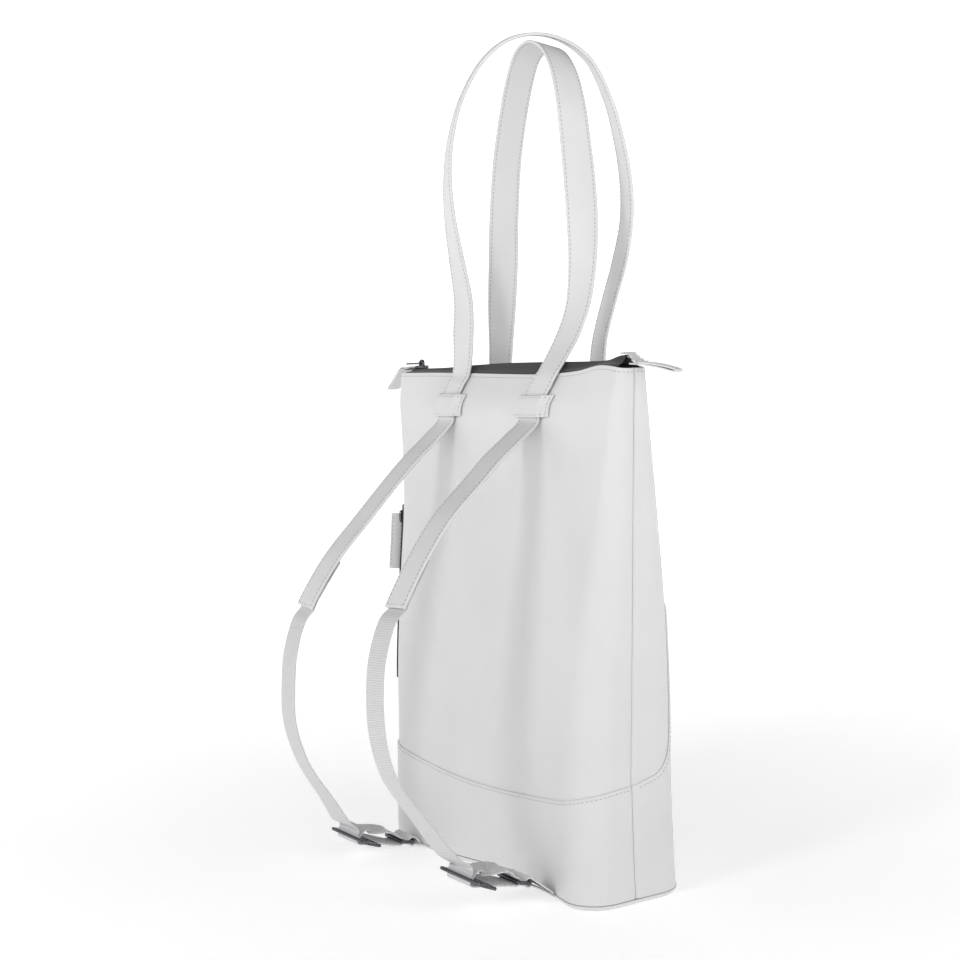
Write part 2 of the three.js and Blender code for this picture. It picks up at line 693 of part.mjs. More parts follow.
// The zip's slider: a low block on the tapes with a bridge that carries the puller
function addSlider() {
  const x = -(halfTop - sliderInset);
  const z = tapeTop(x) + fit;
  const body = plate(rounded(sliderLength, sliderWidth, 3), sliderThickness, edgeBreak);
  body.translate(0, 0, sliderThickness / 2);
  const rise = bridgeRadius - bridgeWire;
  const round = spread(0, 180, 8).map((angle) => {
    const a = THREE.MathUtils.degToRad(angle);
    return new THREE.Vector2(bridgeRadius * Math.cos(a), rise + bridgeRadius * Math.sin(a));
  });
  const arch = new THREE.Shape([new THREE.Vector2(bridgeRadius, -1), ...round, new THREE.Vector2(-bridgeRadius, -1)]);
  const eye = spread(0, 324, 9).map((angle) => {
    const a = THREE.MathUtils.degToRad(angle);
    const radius = bridgeRadius - bridgeWire;
    return new THREE.Vector2(radius * Math.cos(a), rise + radius * Math.sin(a));
  });
  arch.holes.push(new THREE.Path(eye));
  const bridge = plate(arch, bridgeWidth, edgeBreak / 2);
  bridge.rotateX(Math.PI / 2);
  bridge.translate(0, 0, sliderThickness);
  const slider = add('zip_slider', join(body, bridge), gunmetal);
  slider.position.set(x, 0, z);
  const blade = rounded(pullerLength, pullerWidth, 2.5, bridgeWire / 2 - pullerLength / 2);
  const [from, to] = [-bridgeRadius - 0.6, -pullerThickness / 2];
  const half = bridgeWidth / 2 + 0.7;
  const slot = [[from, -half], [to, -half], [to, half], [from, half]];
  blade.holes.push(new THREE.Path(slot.map(([u, v]) => new THREE.Vector2(u, v))));
  const puller = add('zip_puller', plate(blade, pullerThickness, edgeBreak / 2), gunmetal);
  puller.position.set(x, 0, z + sliderThickness + rise);
}

// One solid from two that overlap
function join(first, second) {
  const body = toManifold(first).add(toManifold(second)).getMesh();
  const geometry = new THREE.BufferGeometry();
  geometry.setAttribute('position', new THREE.Float32BufferAttribute(body.vertProperties, 3));
  geometry.setIndex(Array.from(body.triVerts));
  geometry.computeVertexNormals();
  return geometry;
}

function toManifold(geometry) {
  const bare = geometry.clone();
  bare.deleteAttribute('normal');
  bare.deleteAttribute('uv');
  const merged = mergeVertices(bare, 1e-4);
  return new wasm.Manifold(new wasm.Mesh({
    numProp: 3,
    vertProperties: new Float32Array(merged.attributes.position.array),
    triVerts: new Uint32Array(merged.index.array),
  }));
}

// The zip along the left back corner: a strip of tape on the leather, a slider and a leather pull
function addSideZip() {
  const low = sideZipTop - sideZipLength;
  const point = (z, out, shift = 0) => skin(-1, sideZipPlace + shift, z, -out);
  const slope = point(sideZipTop, 0, 0.01).sub(point(sideZipTop, 0, -0.01));
  const shift = (0.01 * sideZipWidth) / slope.length();
  const places = [-shift, 0, shift];
  const strip = (out) => spread(low, sideZipTop, 7).map((z) => places.map((place) => point(z, out, place)));
  add('side_zip', slab(strip(2 * fit + tapeThickness), strip(2 * fit)), tapeCloth);

  const angle = Math.atan2(slope.y, slope.x);
  const turn = THREE.MathUtils.radToDeg(angle);
  const sliderZ = sideZipTop - sideSliderLength;
  const sliderOut = 3 * fit + tapeThickness + sideSliderThickness / 2;
  const body = plate(rounded(sideSliderLength, sideSliderWidth, 2.5), sideSliderThickness, edgeBreak);
  body.rotateZ(Math.PI / 2);
  body.rotateX(Math.PI / 2);
  body.rotateZ(angle);
  const slider = add('side_zip_slider', body, gunmetal);
  slider.position.copy(point(sliderZ, sliderOut + fit));

  const pullOut = sliderOut + sideSliderThickness / 2 + 2 * fit + pullThickness / 2;
  const stops = spread(0, 1, 3).map((share) => {
    const z = sliderZ + sideSliderLength / 4 - share * pullLength;
    return { at: point(z, pullOut), turn };
  });
  add('side_zip_pull', ribbon(routeRows(stops, 6), pullWidth, pullThickness), leather);
}

// A set of axes for a piece of hardware: across its width, out from the bag and up
function axesAt(origin, turn, tilt, pitch) {
  const [a, b, c] = [turn, tilt, pitch].map(THREE.MathUtils.degToRad);
  const across = new THREE.Vector3(Math.cos(a) * Math.cos(b), Math.sin(a) * Math.cos(b), Math.sin(b));
  const out = new THREE.Vector3(Math.sin(a) * Math.cos(c), -Math.cos(a) * Math.cos(c), Math.sin(c));
  out.addScaledVector(across, -out.dot(across)).normalize();
  const up = new THREE.Vector3().crossVectors(out, across).negate().normalize();
  if (up.z < 0) up.negate();
  return { origin, across, out, up, turn, tilt };
}

function placed(axes, out, up) {
  return {
    at: axes.origin.clone().addScaledVector(axes.out, out).addScaledVector(axes.up, up),
    turn: axes.turn,
    tilt: axes.tilt,
  };
}

// Turn a flat shape of hardware into its place: its length across, its width out, its depth up
function seatHardware(mesh, axes) {
  const basis = new THREE.Matrix4().makeBasis(axes.across, axes.out.clone().negate(), axes.up);
  mesh.quaternion.setFromRotationMatrix(basis);
  mesh.position.copy(axes.origin);
}

// The ring of one shoulder strap, seated in its axes
function addRing(suffix, axes) {
  const frame = rounded(ringLength, ringWidth, 3);
  frame.holes.push(new THREE.Path(roundedPoints(ringLength - 2 * wire, ringWidth - 2 * wire, 1)));
  seatHardware(add(`ring_${suffix}`, plate(frame, wire, 0.29 * wire), gunmetal), axes);
}

// The slide buckle: a plate with two slots and a bar between them
function addBuckle(suffix, axes) {
  const frame = rounded(buckleLength, buckleWidth, 4);
  for (const shift of [-1, 1]) {
    const hole = roundedPoints(buckleLength - 2 * buckleBar, slotWidth, 1);
    for (const point of hole) point.y += (shift * (slotWidth + buckleBar)) / 2;
    frame.holes.push(new THREE.Path(hole));
  }
  seatHardware(add(`buckle_${suffix}`, plate(frame, buckleThickness, edgeBreak), gunmetal), axes);
}

// A leather tab from the base seam out round the ring's inner bar and back
function addBaseTab(suffix, side, axes) {
  const edge = (shift) => facePoint(-1, side * ringOffset + shift, seamHeight + fit, wall + 9 * fit);
  const slope = edge(tabWidth / 2).sub(edge(-tabWidth / 2));
  const turned = THREE.MathUtils.radToDeg(Math.atan2(slope.y, slope.x));
  const layer = fit + tabThickness / 2;
  const turn = wire / 2 + layer + 4 * fit;
  const from = (up) => ({ at: edge(0).add(new THREE.Vector3(0, 0, up)), turn: turned });
  const stops = [
    from(layer),
    placed(axes, -ringBar - 3.5, 0.75 * turn),
    placed(axes, -ringBar, turn),
    placed(axes, -ringBar + 0.72 * turn, 0.72 * turn),
    placed(axes, -ringBar + turn, 0),
    placed(axes, -ringBar + 0.72 * turn, -0.72 * turn),
    placed(axes, -ringBar, -turn),
    placed(axes, -ringBar - 3.5, -0.75 * turn),
    from(-layer),
  ];
  add(`base_tab_${suffix}`, ribbon(routeRows(stops, 28), tabWidth, tabThickness), leather);
}

// The webbing of one shoulder strap: from under the leather down round the buckle's outer bar, over
// its middle bar, out round the ring, back over the middle bar and under itself
function addWebbing(suffix, side, shoulder, table, buckleAxes, ringAxes) {
  const end = stopsOfShoulder(shoulder, side).slice(-3);
  const along = end[2].at.clone().sub(end[0].at).normalize();
  const inward = new THREE.Vector3(0, -along.z, along.y);
  const lap = [end[0], end[1], end[2]].map(({ at, turn }) => ({
    at: at.clone().addScaledVector(inward, strapThickness / 2 + fit + fit + webbingThickness / 2),
    turn,
  }));
  const half = webbingThickness / 2;
  const layer = webbingThickness + fit;
  const near = buckleBar / 2 + fit + half;
  const high = buckleThickness / 2 + fit + half;
  const outer = slotWidth + buckleBar;
  const turn = wire / 2 + 2 * fit + half;
  const loop = (out, up) => placed(ringAxes, ringBar - out, up);
  const slide = (out, up) => placed(buckleAxes, out, up);
  const stops = [
    ...lap,
    ...stopsOfShoulder(table, side),
    slide(outer + near + 1.7, 4.2),
    slide(outer + near + 0.6, 0.3),
    slide(outer + near - 0.5, -high + 0.5),
    slide(outer, -high - 0.2),
    slide(outer - 3.8, -high + 0.2),
    slide(near + layer + 0.2, -0.6),
    slide(near + layer, 1.4),
    slide(near + 0.8, high + 0.8),
    slide(0, high + layer + 0.3),
    slide(-near - 0.8, high + 0.8),
    slide(-near - layer, 1.4),
    slide(-near - layer - 0.2, -0.6),
    slide(-outer + 3.8, -high + 0.2),
    slide(-outer, -high - 0.2),
    slide(-outer - 4, -high + 0.4),
    slide(-outer - 8, 1),
    loop(-9, turn + 4.5),
    loop(-3.5, turn + 1.2),
    loop(0, turn),
    loop(0.72 * turn, 0.72 * turn),
    loop(turn, 0),
    loop(0.72 * turn, -0.72 * turn),
    loop(0, -turn),
    loop(-6, -turn - 0.3),
    slide(-outer - 6, -high - layer - 1.1),
    slide(-outer, -high - layer - 0.7),
    slide(-near - 3, -high - 0.8),
    slide(-near - 0.1, -0.8),
    slide(-near, 1.2),
    slide(-near + 0.8, high - 0.2),
    slide(0, high + 0.15),
    slide(near - 0.8, high - 0.2),
    slide(near, 1.2),
    slide(near, -1.4),
    slide(near - 0.8, -high - 1.4),
    slide(-0.5, -high - layer - 1.6),
    slide(-near - 3, -high - 2 * layer - 0.9),
    slide(-outer - 2, -high - 2 * layer - 0.9),
  ];
  add(`webbing_${suffix}`, ribbon(routeRows(stops, 100), webbingWidth, webbingThickness), webCloth);
}

// The lower end of one shoulder strap
function addTail(suffix, shoulder, table) {
  const lie = hardwareLie[suffix];
  const x = lie.side * ringOffset;
  const ringAt = new THREE.Vector3(x, -halfDepth - lie.ringOut * ringReach, lie.ringUp * ringReach);
  const buckleAt = new THREE.Vector3(x, -halfDepth - lie.buckleOut * buckleReach, lie.buckleUp * buckleReach);
  const ringAxes = axesAt(ringAt, buckleTurn / 4, buckleTilt / 4, lie.ringPitch);
  const buckleAxes = axesAt(buckleAt, buckleTurn, buckleTilt, lie.bucklePitch);
  addRing(suffix, ringAxes);
  addBuckle(suffix, buckleAxes);
  addBaseTab(suffix, lie.side, ringAxes);
  addWebbing(suffix, lie.side, shoulder, table, buckleAxes, ringAxes);
}

const wasm = await Module();
wasm.setup();

addBody();
addBase();
addTape('zip_tape_back', -1);
addTape('zip_tape_front', 1);
addZipTab('zip_tab_left', -1, zipTabDroop, 0);
addZipTab('zip_tab_right', 1, 0.55 * zipTabDroop, zipTabTurn);
addSlider();
addSideZip();
addStrap('strap_left', -1, leftHandle, leftShoulder, 6);
addStrap('strap_right', 1, rightHandle, rightShoulder, 8);
addKeeper('keeper_left', -1, 6);
addKeeper('keeper_right', 1, 8);
addTail('left', leftShoulder, leftWebbing);
addTail('right', rightShoulder, rightWebbing);

export default bag;
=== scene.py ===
"""A white leather tote that is also worn as a backpack, dressed for a studio render."""

import logging
import math
from dataclasses import dataclass, field
from enum import Enum
from typing import Callable, Sequence

import bpy
import numpy as np
from mathutils import Matrix, Vector


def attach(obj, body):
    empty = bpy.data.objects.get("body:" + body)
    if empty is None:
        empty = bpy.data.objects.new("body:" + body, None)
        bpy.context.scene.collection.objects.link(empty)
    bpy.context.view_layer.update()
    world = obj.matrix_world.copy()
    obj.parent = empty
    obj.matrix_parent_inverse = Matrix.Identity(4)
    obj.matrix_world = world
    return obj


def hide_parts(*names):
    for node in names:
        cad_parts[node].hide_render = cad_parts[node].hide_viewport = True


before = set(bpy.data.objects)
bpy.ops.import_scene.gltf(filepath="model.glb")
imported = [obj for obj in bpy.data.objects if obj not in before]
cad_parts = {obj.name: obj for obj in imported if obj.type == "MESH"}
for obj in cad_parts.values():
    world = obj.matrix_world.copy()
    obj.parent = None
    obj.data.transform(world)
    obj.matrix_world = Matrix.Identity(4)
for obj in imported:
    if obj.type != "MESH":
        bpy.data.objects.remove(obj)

LOG = logging.getLogger("bag")
# One millimetre in metres, and the body that every dressed piece rides
MM = 0.001
BODY = "bag"

# Kinds of value that the functions share
Places = np.ndarray | float
Faces = list[tuple[int, ...]]
Settings = dict[str | int, object]
Links = dict[str | int, bpy.types.NodeSocket]

# Bag body, in millimetres
PANEL_HEIGHT = 449.0
TOP_WIDTH = 354.0
BASE_DEPTH = 108.0
BASE_CORNER = 31.0
WALL = 1.8
FIT = 0.3
SEAM_HEIGHT = 4.0
BOOT_HEIGHT = 79.0
BOOT_SIDE_HEIGHT = 100.0
POCKET_HEIGHT = 250.0
HALF_DEPTH = BASE_DEPTH / 2
HALF_TOP = TOP_WIDTH / 2

# Where the straight side and the round corner of a half end, as shares of the way to its middle
SIDE_SHARE = 0.16
CORNER_SHARE = 0.5

# Zip along the mouth
TAPE_THICKNESS = 1.2
TAPE_BELOW = 8.0
TAPE_ABOVE = 10.0
MOUTH_OPENING = 8.0
TAPE_END_INSET = 9.0
ZIP_TAB_LENGTH = 46.0
ZIP_TAB_WIDTH = 24.0
ZIP_TAB_THICKNESS = 1.5
ZIP_TAB_DROOP = 18.0
ZIP_TAB_TURN = 24.0
ZIP_TAB_TIP = 12.0
TOOTH_PITCH = 1.5

# Zip along the left back corner
SIDE_ZIP_TOP = 322.0
SIDE_ZIP_LENGTH = 168.0
SIDE_ZIP_WIDTH = 10.0
SIDE_ZIP_PLACE = 0.85
SIDE_SLIDER_LENGTH = 12.0
SIDE_SLIDER_THICKNESS = 2.4
PULL_LENGTH = 54.0
PULL_WIDTH = 12.0
PULL_THICKNESS = 2.2

# Leather straps, their keepers and anchors
STRAP_WIDTH = 28.0
STRAP_THICKNESS = 3.0
STRAP_OFFSET = 67.0
HANDLE_RISE = 300.0
STRAP_BOW = 204.0
KEEPER_HEIGHT = 420.0
KEEPER_WIDTH = 48.0
KEEPER_DEPTH = 20.0
KEEPER_THICKNESS = 1.8
ANCHOR_HEIGHT = 385.0
ANCHOR_LENGTH = 48.0

# Webbing and hardware at the lower ends
WEBBING_WIDTH = 25.0
WEBBING_THICKNESS = 1.6
RING_OFFSET = 105.0
RING_REACH = 24.0
RING_LENGTH = 33.0
RING_WIDTH = 16.0
WIRE = 3.4
BUCKLE_REACH = 70.0
BUCKLE_LENGTH = 48.0
BUCKLE_WIDTH = 25.0
BUCKLE_BAR = 4.0
BUCKLE_THICKNESS = 3.0
BUCKLE_TURN = 18.0
BUCKLE_TILT = -10.0
TAB_WIDTH = 26.0
TAB_THICKNESS = 1.8
SLOT_WIDTH = (BUCKLE_WIDTH - 3 * BUCKLE_BAR) / 2
RING_BAR = (RING_WIDTH - WIRE) / 2

# Stitching
STITCH_PITCH = 3.9
STITCH_LENGTH = 2.0
THREAD_RADIUS = 0.4
STITCH_INSET = 2.6


@dataclass(frozen=True)
class Table:
    """Rows of named columns, with a smooth curve between the rows.

    The first column is the place of a row and rises from row to row.
    """

    columns: tuple[str, ...]
    rows: tuple[tuple[float, ...], ...]

    def column(self, name: str) -> np.ndarray:
        """Give one column as an array."""
        index = self.columns.index(name)
        return np.array([row[index] for row in self.rows])

    def at(self, name: str, place: Places) -> np.ndarray:
        """Give a column's values at places between the rows.

        Args:
            name: The column.
            place: Places along the first column.

        Returns:
            One value for each place.
        """
        keys = self.column(self.columns[0])
        values = self.column(name)
        last = len(keys) - 1
        slopes = np.empty(last + 1)
        for k in range(last + 1):
            a, b = max(k - 1, 0), min(k + 1, last)
            slopes[k] = (values[b] - values[a]) / (keys[b] - keys[a])
        clamped = np.clip(np.asarray(place, float), keys[0], keys[last])
        i = np.clip(np.searchsorted(keys, clamped, side="left") - 1, 0, last - 1)
        run = keys[i + 1] - keys[i]
        t = (clamped - keys[i]) / run
        smooth = t * t * (3 - 2 * t)
        bend = t * (1 - t) * run
        start, end = values[i], values[i + 1]
        return start + (end - start) * smooth + bend * ((1 - t) * slopes[i] - t * slopes[i + 1])


# Sections of the bag from the floor up, as shares of the panel height, of half the top width, of
# half the base depth and of the base corner
BODY_SECTIONS = Table(
    ("rise", "width", "back", "front", "corner"),
    (
        (0.00, 0.914, 0.963, 1.083, 1.00), (0.06, 0.907, 0.972, 1.080, 1.00),
        (0.22, 0.903, 0.935, 1.056, 0.98), (0.38, 0.923, 0.852, 1.000, 0.94),
        (0.55, 0.945, 0.685, 0.878, 0.84), (0.72, 0.962, 0.481, 0.678, 0.66),
        (0.86, 0.981, 0.389, 0.472, 0.46), (0.94, 0.992, 0.352, 0.348, 0.32),
        (1.00, 1.000, 0.260, 0.259, 0.24),
    ),
)

# How far the middle of each face stands out from its corners, as a share of half the base depth
FACE_SWELL = Table(
    ("rise", "back", "front"),
    (
        (0.00, 0.00, 0.00), (0.25, -0.03, 0.04), (0.50, -0.06, 0.05), (0.75, 0.00, 0.03),
        (0.88, 0.13, 0.02), (0.93, 0.14, 0.01), (1.00, 0.00, 0.00),
    ),
)

# How far the lower back edge is lifted and pushed in, as shares of half the top width, of the
# height of the base seam and of the base corner
BASE_FOLDS = Table(
    ("across", "lift", "push"),
    (
        (-1.00, 0.00, 0.00), (-0.60, 0.00, 0.00), (-0.48, 0.01, 0.00), (-0.30, 0.20, 0.02),
        (0.00, 0.80, 0.15), (0.23, 1.30, 0.25), (0.43, 1.40, 0.25), (0.57, 1.00, 0.16),
        (0.70, 0.45, 0.07), (0.80, 0.12, 0.02), (0.90, 0.01, 0.00), (1.00, 0.01, 0.00),
    ),
)

# The wave of the mouth, as shares of half the top width and of the tape's height above the hem
MOUTH_WAVE = Table(
    ("across", "lift", "tape"),
    (
        (-1.00, 0.20, 0.35), (-0.60, 0.12, 0.42), (-0.30, 0.00, 0.70), (0.05, -0.17, 0.95),
        (0.38, -0.27, 1.00), (0.66, -0.07, 0.75), (0.82, 0.33, 0.40), (0.90, 0.30, 0.75),
        (1.00, 0.05, 1.20),
    ),
)

# Top line of the front pocket near each side seam, as a share of the climb from the boot
POCKET_EDGE = Table(
    ("place", "climb"),
    (
        (0.000, 0.000), (0.040, 0.020), (0.080, 0.045), (0.114, 0.095), (0.148, 0.185), (0.163, 0.280),
        (0.171, 0.420), (0.176, 0.700), (0.182, 0.950), (0.192, 0.990), (0.216, 1.000),
    ),
)

# Handles from the keeper on the back to the seat on the front: shares of the strap offset, of half
# the base depth and of the handle rise, then the turn and tilt of the strap's width in degrees
HANDLE_COLUMNS = ("across", "out", "rise", "turn", "tilt")
LEFT_HANDLE = Table(
    HANDLE_COLUMNS,
    (
        (-0.93, -0.20, 0.13, 8, 0), (-0.99, -0.14, 0.227, 3, 0), (-1.06, -0.19, 0.35, -5, 0),
        (-1.11, -0.26, 0.477, -14, 0), (-1.12, -0.28, 0.60, -20, 0), (-1.06, -0.24, 0.72, -24, -3),
        (-0.90, -0.13, 0.84, -27, -7), (-0.60, 0.09, 0.95, -29, -10), (-0.27, 0.32, 1.000, -30, -11),
        (0.09, 0.56, 1.007, -30, -11), (0.42, 0.81, 0.980, -29, -10), (0.75, 1.04, 0.913, -28, -8),
        (0.99, 1.21, 0.79, -26, -4), (1.11, 1.30, 0.67, -23, 0), (1.18, 1.35, 0.553, -19, 0),
        (1.18, 1.35, 0.437, -16, 0), (1.09, 1.28, 0.32, -11, 0), (0.97, 1.16, 0.207, -11, 0),
        (0.93, 0.98, 0.09, -12, 0), (0.93, 0.86, -0.05, -9, 0),
    ),
)
RIGHT_HANDLE = Table(
    HANDLE_COLUMNS,
    (
        (1.22, 0.01, 0.087, 9, 0), (1.24, 0.17, 0.147, 10, 0), (1.24, 0.28, 0.203, 13, 0),
        (1.21, 0.40, 0.32, 25, 0), (1.16, 0.46, 0.437, 42, 0), (1.08, 0.50, 0.553, 58, 0),
        (0.98, 0.53, 0.67, 68, -2), (0.86, 0.56, 0.79, 76, -5), (0.66, 0.60, 0.89, 82, -8),
        (0.40, 0.62, 0.953, 86, -10), (0.10, 0.63, 0.975, 87, -10), (-0.18, 0.65, 0.955, 84, -8),
        (-0.40, 0.67, 0.89, 80, -5), (-0.62, 0.69, 0.78, 78, -2), (-0.79, 0.70, 0.66, 75, 0),
        (-0.92, 0.71, 0.49, 66, 0), (-0.98, 0.71, 0.33, 52, 0), (-1.03, 0.70, 0.20, 36, 0),
        (-1.04, 0.67, 0.087, 19, 0), (-1.03, 0.62, -0.04, 10, 0),
    ),
)

# Shoulder straps and webbing below the keepers: height as a share of the keeper height, bow away
# from the bag as a share of the strap bow, and turn in degrees
SHOULDER_COLUMNS = ("height", "bow", "turn")
LEFT_SHOULDER = Table(
    SHOULDER_COLUMNS,
    (
        (0.927, 0.225, 2), (0.886, 0.325, 2), (0.843, 0.415, 2), (0.761, 0.575, 2), (0.681, 0.728, 2),
        (0.599, 0.842, 1), (0.582, 0.859, 1),
    ),
)
RIGHT_SHOULDER = Table(
    SHOULDER_COLUMNS,
    (
        (0.932, 0.245, 5), (0.895, 0.352, 5), (0.856, 0.446, 5), (0.783, 0.622, 5), (0.711, 0.747, 4),
        (0.638, 0.850, 3), (0.621, 0.872, 3),
    ),
)
LEFT_WEBBING = Table(
    SHOULDER_COLUMNS,
    (
        (0.556, 0.885, 0), (0.490, 0.927, 0), (0.428, 0.938, 0), (0.339, 0.932, 0), (0.245, 0.868, 0),
        (0.145, 0.735, 7), (0.093, 0.667, 13),
    ),
)
RIGHT_WEBBING = Table(
    SHOULDER_COLUMNS,
    (
        (0.600, 0.905, 3), (0.528, 0.970, 3), (0.453, 0.995, 3), (0.375, 0.995, 3), (0.296, 0.955, 3),
        (0.210, 0.838, 7), (0.132, 0.722, 13),
    ),
)


class Side(Enum):
    """The two sides of the bag, as the sign of their place across it."""

    LEFT = -1
    RIGHT = 1

    @property
    def word(self) -> str:
        """The side's name in piece names."""
        return self.name.lower()


class Face(Enum):
    """The two faces of the bag, as the sign of their outward direction along Y."""

    BACK = -1
    FRONT = 1


def ease(start: float, end: float, value: Places) -> np.ndarray:
    """Step smoothly from 0 at the start to 1 at the end."""
    t = np.clip((np.asarray(value, float) - start) / (end - start), 0, 1)
    return t * t * (3 - 2 * t)


def mouth_lift(x: np.ndarray, z: np.ndarray) -> np.ndarray:
    """Lift of the hem at places across the mouth, fading out below it."""
    near = ease(0.9 * PANEL_HEIGHT, PANEL_HEIGHT, z)
    return MOUTH_WAVE.at("lift", x / HALF_TOP) * TAPE_ABOVE * near


def settle(points: np.ndarray) -> np.ndarray:
    """Lift and push in the lower back edge, and hollow or fill out the two faces.

    Args:
        points: Points on the bag's skin, in millimetres.

    Returns:
        The moved points.
    """
    across = points[..., 0] / HALF_TOP
    rise = points[..., 2] / PANEL_HEIGHT
    at_back = ease(0.25 * HALF_DEPTH, 0.8 * HALF_DEPTH, -points[..., 1])
    low = 1 - ease(0, 0.25, rise)
    lift = BASE_FOLDS.at("lift", across) * SEAM_HEIGHT
    push = BASE_FOLDS.at("push", across) * BASE_CORNER
    middle = 1 - ease(0.3, 0.85, np.abs(across))
    half = np.sign(points[..., 1])
    back, front = FACE_SWELL.at("back", rise), FACE_SWELL.at("front", rise)
    swell = np.where(half < 0, back, front) * HALF_DEPTH
    on_face = ease(0.05 * HALF_DEPTH, 0.2 * HALF_DEPTH, np.abs(points[..., 1]))
    moved = points.copy()
    moved[..., 2] += lift * low * at_back
    moved[..., 1] += push * low * at_back + half * (swell * middle + slack(points)) * on_face
    return moved


def slack(points: np.ndarray) -> np.ndarray:
    """The faint unevenness of a soft leather face, in millimetres out from the bag."""
    x, z = points[..., 0], points[..., 2]
    calm = ease(20, 90, z) * (1 - ease(350, 400, z)) * (1 - ease(110, 150, np.abs(x)))
    long_wave = np.sin(x / 31 + z / 58 + 0.6) * np.sin(z / 47 + 1.9)
    short_wave = np.sin(x / 17 - z / 39 + 2.2) * np.sin(x / 41 + z / 23)
    return (0.7 * long_wave + 0.25 * short_wave) * calm


def unit(vectors: np.ndarray) -> np.ndarray:
    """Scale vectors to a length of 1."""
    return vectors / np.linalg.norm(vectors, axis=-1, keepdims=True)


def heading(direction: np.ndarray) -> float:
    """Turn of a direction seen from above, in degrees from the line across the bag."""
    return math.degrees(math.atan2(direction[1], direction[0]))


def section_at(face: Face, rise: np.ndarray) -> tuple[np.ndarray, np.ndarray, np.ndarray]:
    """Half width, depth and corner radius of one half of the bag at shares of its height."""
    depth = BODY_SECTIONS.at(face.name.lower(), rise) * HALF_DEPTH
    corner = np.minimum(BODY_SECTIONS.at("corner", rise) * BASE_CORNER, depth - FIT)
    return BODY_SECTIONS.at("width", rise) * HALF_TOP, depth, corner


def skin(face: Face, place: np.ndarray, z: np.ndarray, inset: np.ndarray | float) -> np.ndarray:
    """Points on the bag's skin.

    Args:
        face: The half of the bag.
        place: Places round the half, from 0 at the right side seam to 1 at the left one.
        z: Heights in millimetres.
        inset: Distances inward from the outer face.

    Returns:
        Points in millimetres, with one more axis than the places.
    """
    place, z, inset = np.broadcast_arrays(np.asarray(place, float), z, inset)
    half_width, depth, corner = section_at(face, np.clip(z / PANEL_HEIGHT, 0, 1))
    mirrored = place > 0.5
    t = np.where(mirrored, 1 - place, place) / 0.5
    out_x, out_y = half_width - inset, depth - inset
    radius = np.maximum(corner - inset, FIT)
    quarter = math.pi / 2
    angle = np.clip(quarter * (t - SIDE_SHARE) / (CORNER_SHARE - SIDE_SHARE), 0, quarter)
    straight_y = FIT / 2 + (out_y - radius - FIT / 2) * np.clip(t, 0, SIDE_SHARE) / SIDE_SHARE
    flat_x = (out_x - radius) * (1 - t) / (1 - CORNER_SHARE)
    on_flat, on_corner = t > CORNER_SHARE, t > SIDE_SHARE
    corner_x = out_x - radius + radius * np.cos(angle)
    corner_y = out_y - radius + radius * np.sin(angle)
    x = np.where(on_flat, flat_x, np.where(on_corner, corner_x, out_x))
    y = np.where(on_flat, out_y, np.where(on_corner, corner_y, straight_y))
    x = np.where(mirrored, -x, x)
    points = np.stack([x, face.value * y, z.astype(float)], axis=-1)
    points[..., 2] += mouth_lift(points[..., 0], z)
    return settle(points)


def face_point(face: Face, x: Places, z: Places, proud: Places) -> np.ndarray:
    """Points on the flat of a face.

    Args:
        face: The face of the bag.
        x: Distances from the middle plane.
        z: Heights.
        proud: Distances out from the skin.

    Returns:
        Points in millimetres.
    """
    half_width, _, corner = section_at(face, np.asarray(z, float) / PANEL_HEIGHT)
    place = 0.5 - 0.25 * np.asarray(x, float) / (half_width - corner)
    return skin(face, place, z, -np.asarray(proud, float))


def hem_line(place: np.ndarray) -> np.ndarray:
    """Height of the hem before the mouth's wave."""
    return np.full_like(place, PANEL_HEIGHT)


def boot_line(place: np.ndarray) -> np.ndarray:
    """Height of the seam where the boot meets the upper leather."""
    return BOOT_HEIGHT + (BOOT_SIDE_HEIGHT - BOOT_HEIGHT) * np.cos(math.pi * place) ** 2


def pocket_line(place: np.ndarray) -> np.ndarray:
    """Height of the front pocket's top line."""
    climb = POCKET_EDGE.at("climb", np.minimum(place, 1 - place))
    return BOOT_SIDE_HEIGHT + (POCKET_HEIGHT - BOOT_SIDE_HEIGHT) * climb


def tape_top(x: float) -> float:
    """Height of the zip tape's edge above the floor at a place across."""
    stand = float(MOUTH_WAVE.at("tape", x / HALF_TOP)) * TAPE_ABOVE
    return PANEL_HEIGHT + float(mouth_lift(np.array(x), np.array(PANEL_HEIGHT))) + stand


# Meshes


def make_object(name: str, points: np.ndarray, faces: Faces, uv: np.ndarray | None) -> bpy.types.Object:
    """Make a smooth-shaded mesh object from points in millimetres.

    Args:
        name: The piece's name.
        points: Points, one row each.
        faces: Corners of each face, as indices of points.
        uv: Place of each point on the flat material in millimetres, or None.

    Returns:
        The new object, linked into the scene.
    """
    mesh = bpy.data.meshes.new(name)
    mesh.from_pydata((points * MM).tolist(), [], faces)
    if uv is not None:
        layer = mesh.uv_layers.new(name="flat")
        corners = np.empty(len(mesh.loops), np.int32)
        mesh.loops.foreach_get("vertex_index", corners)
        layer.data.foreach_set("uv", (uv[corners] * MM).astype(np.float32).ravel())
    mesh.polygons.foreach_set("use_smooth", [True] * len(mesh.polygons))
    mesh.update()
    piece = bpy.data.objects.new(name, mesh)
    bpy.context.scene.collection.objects.link(piece)
    return piece


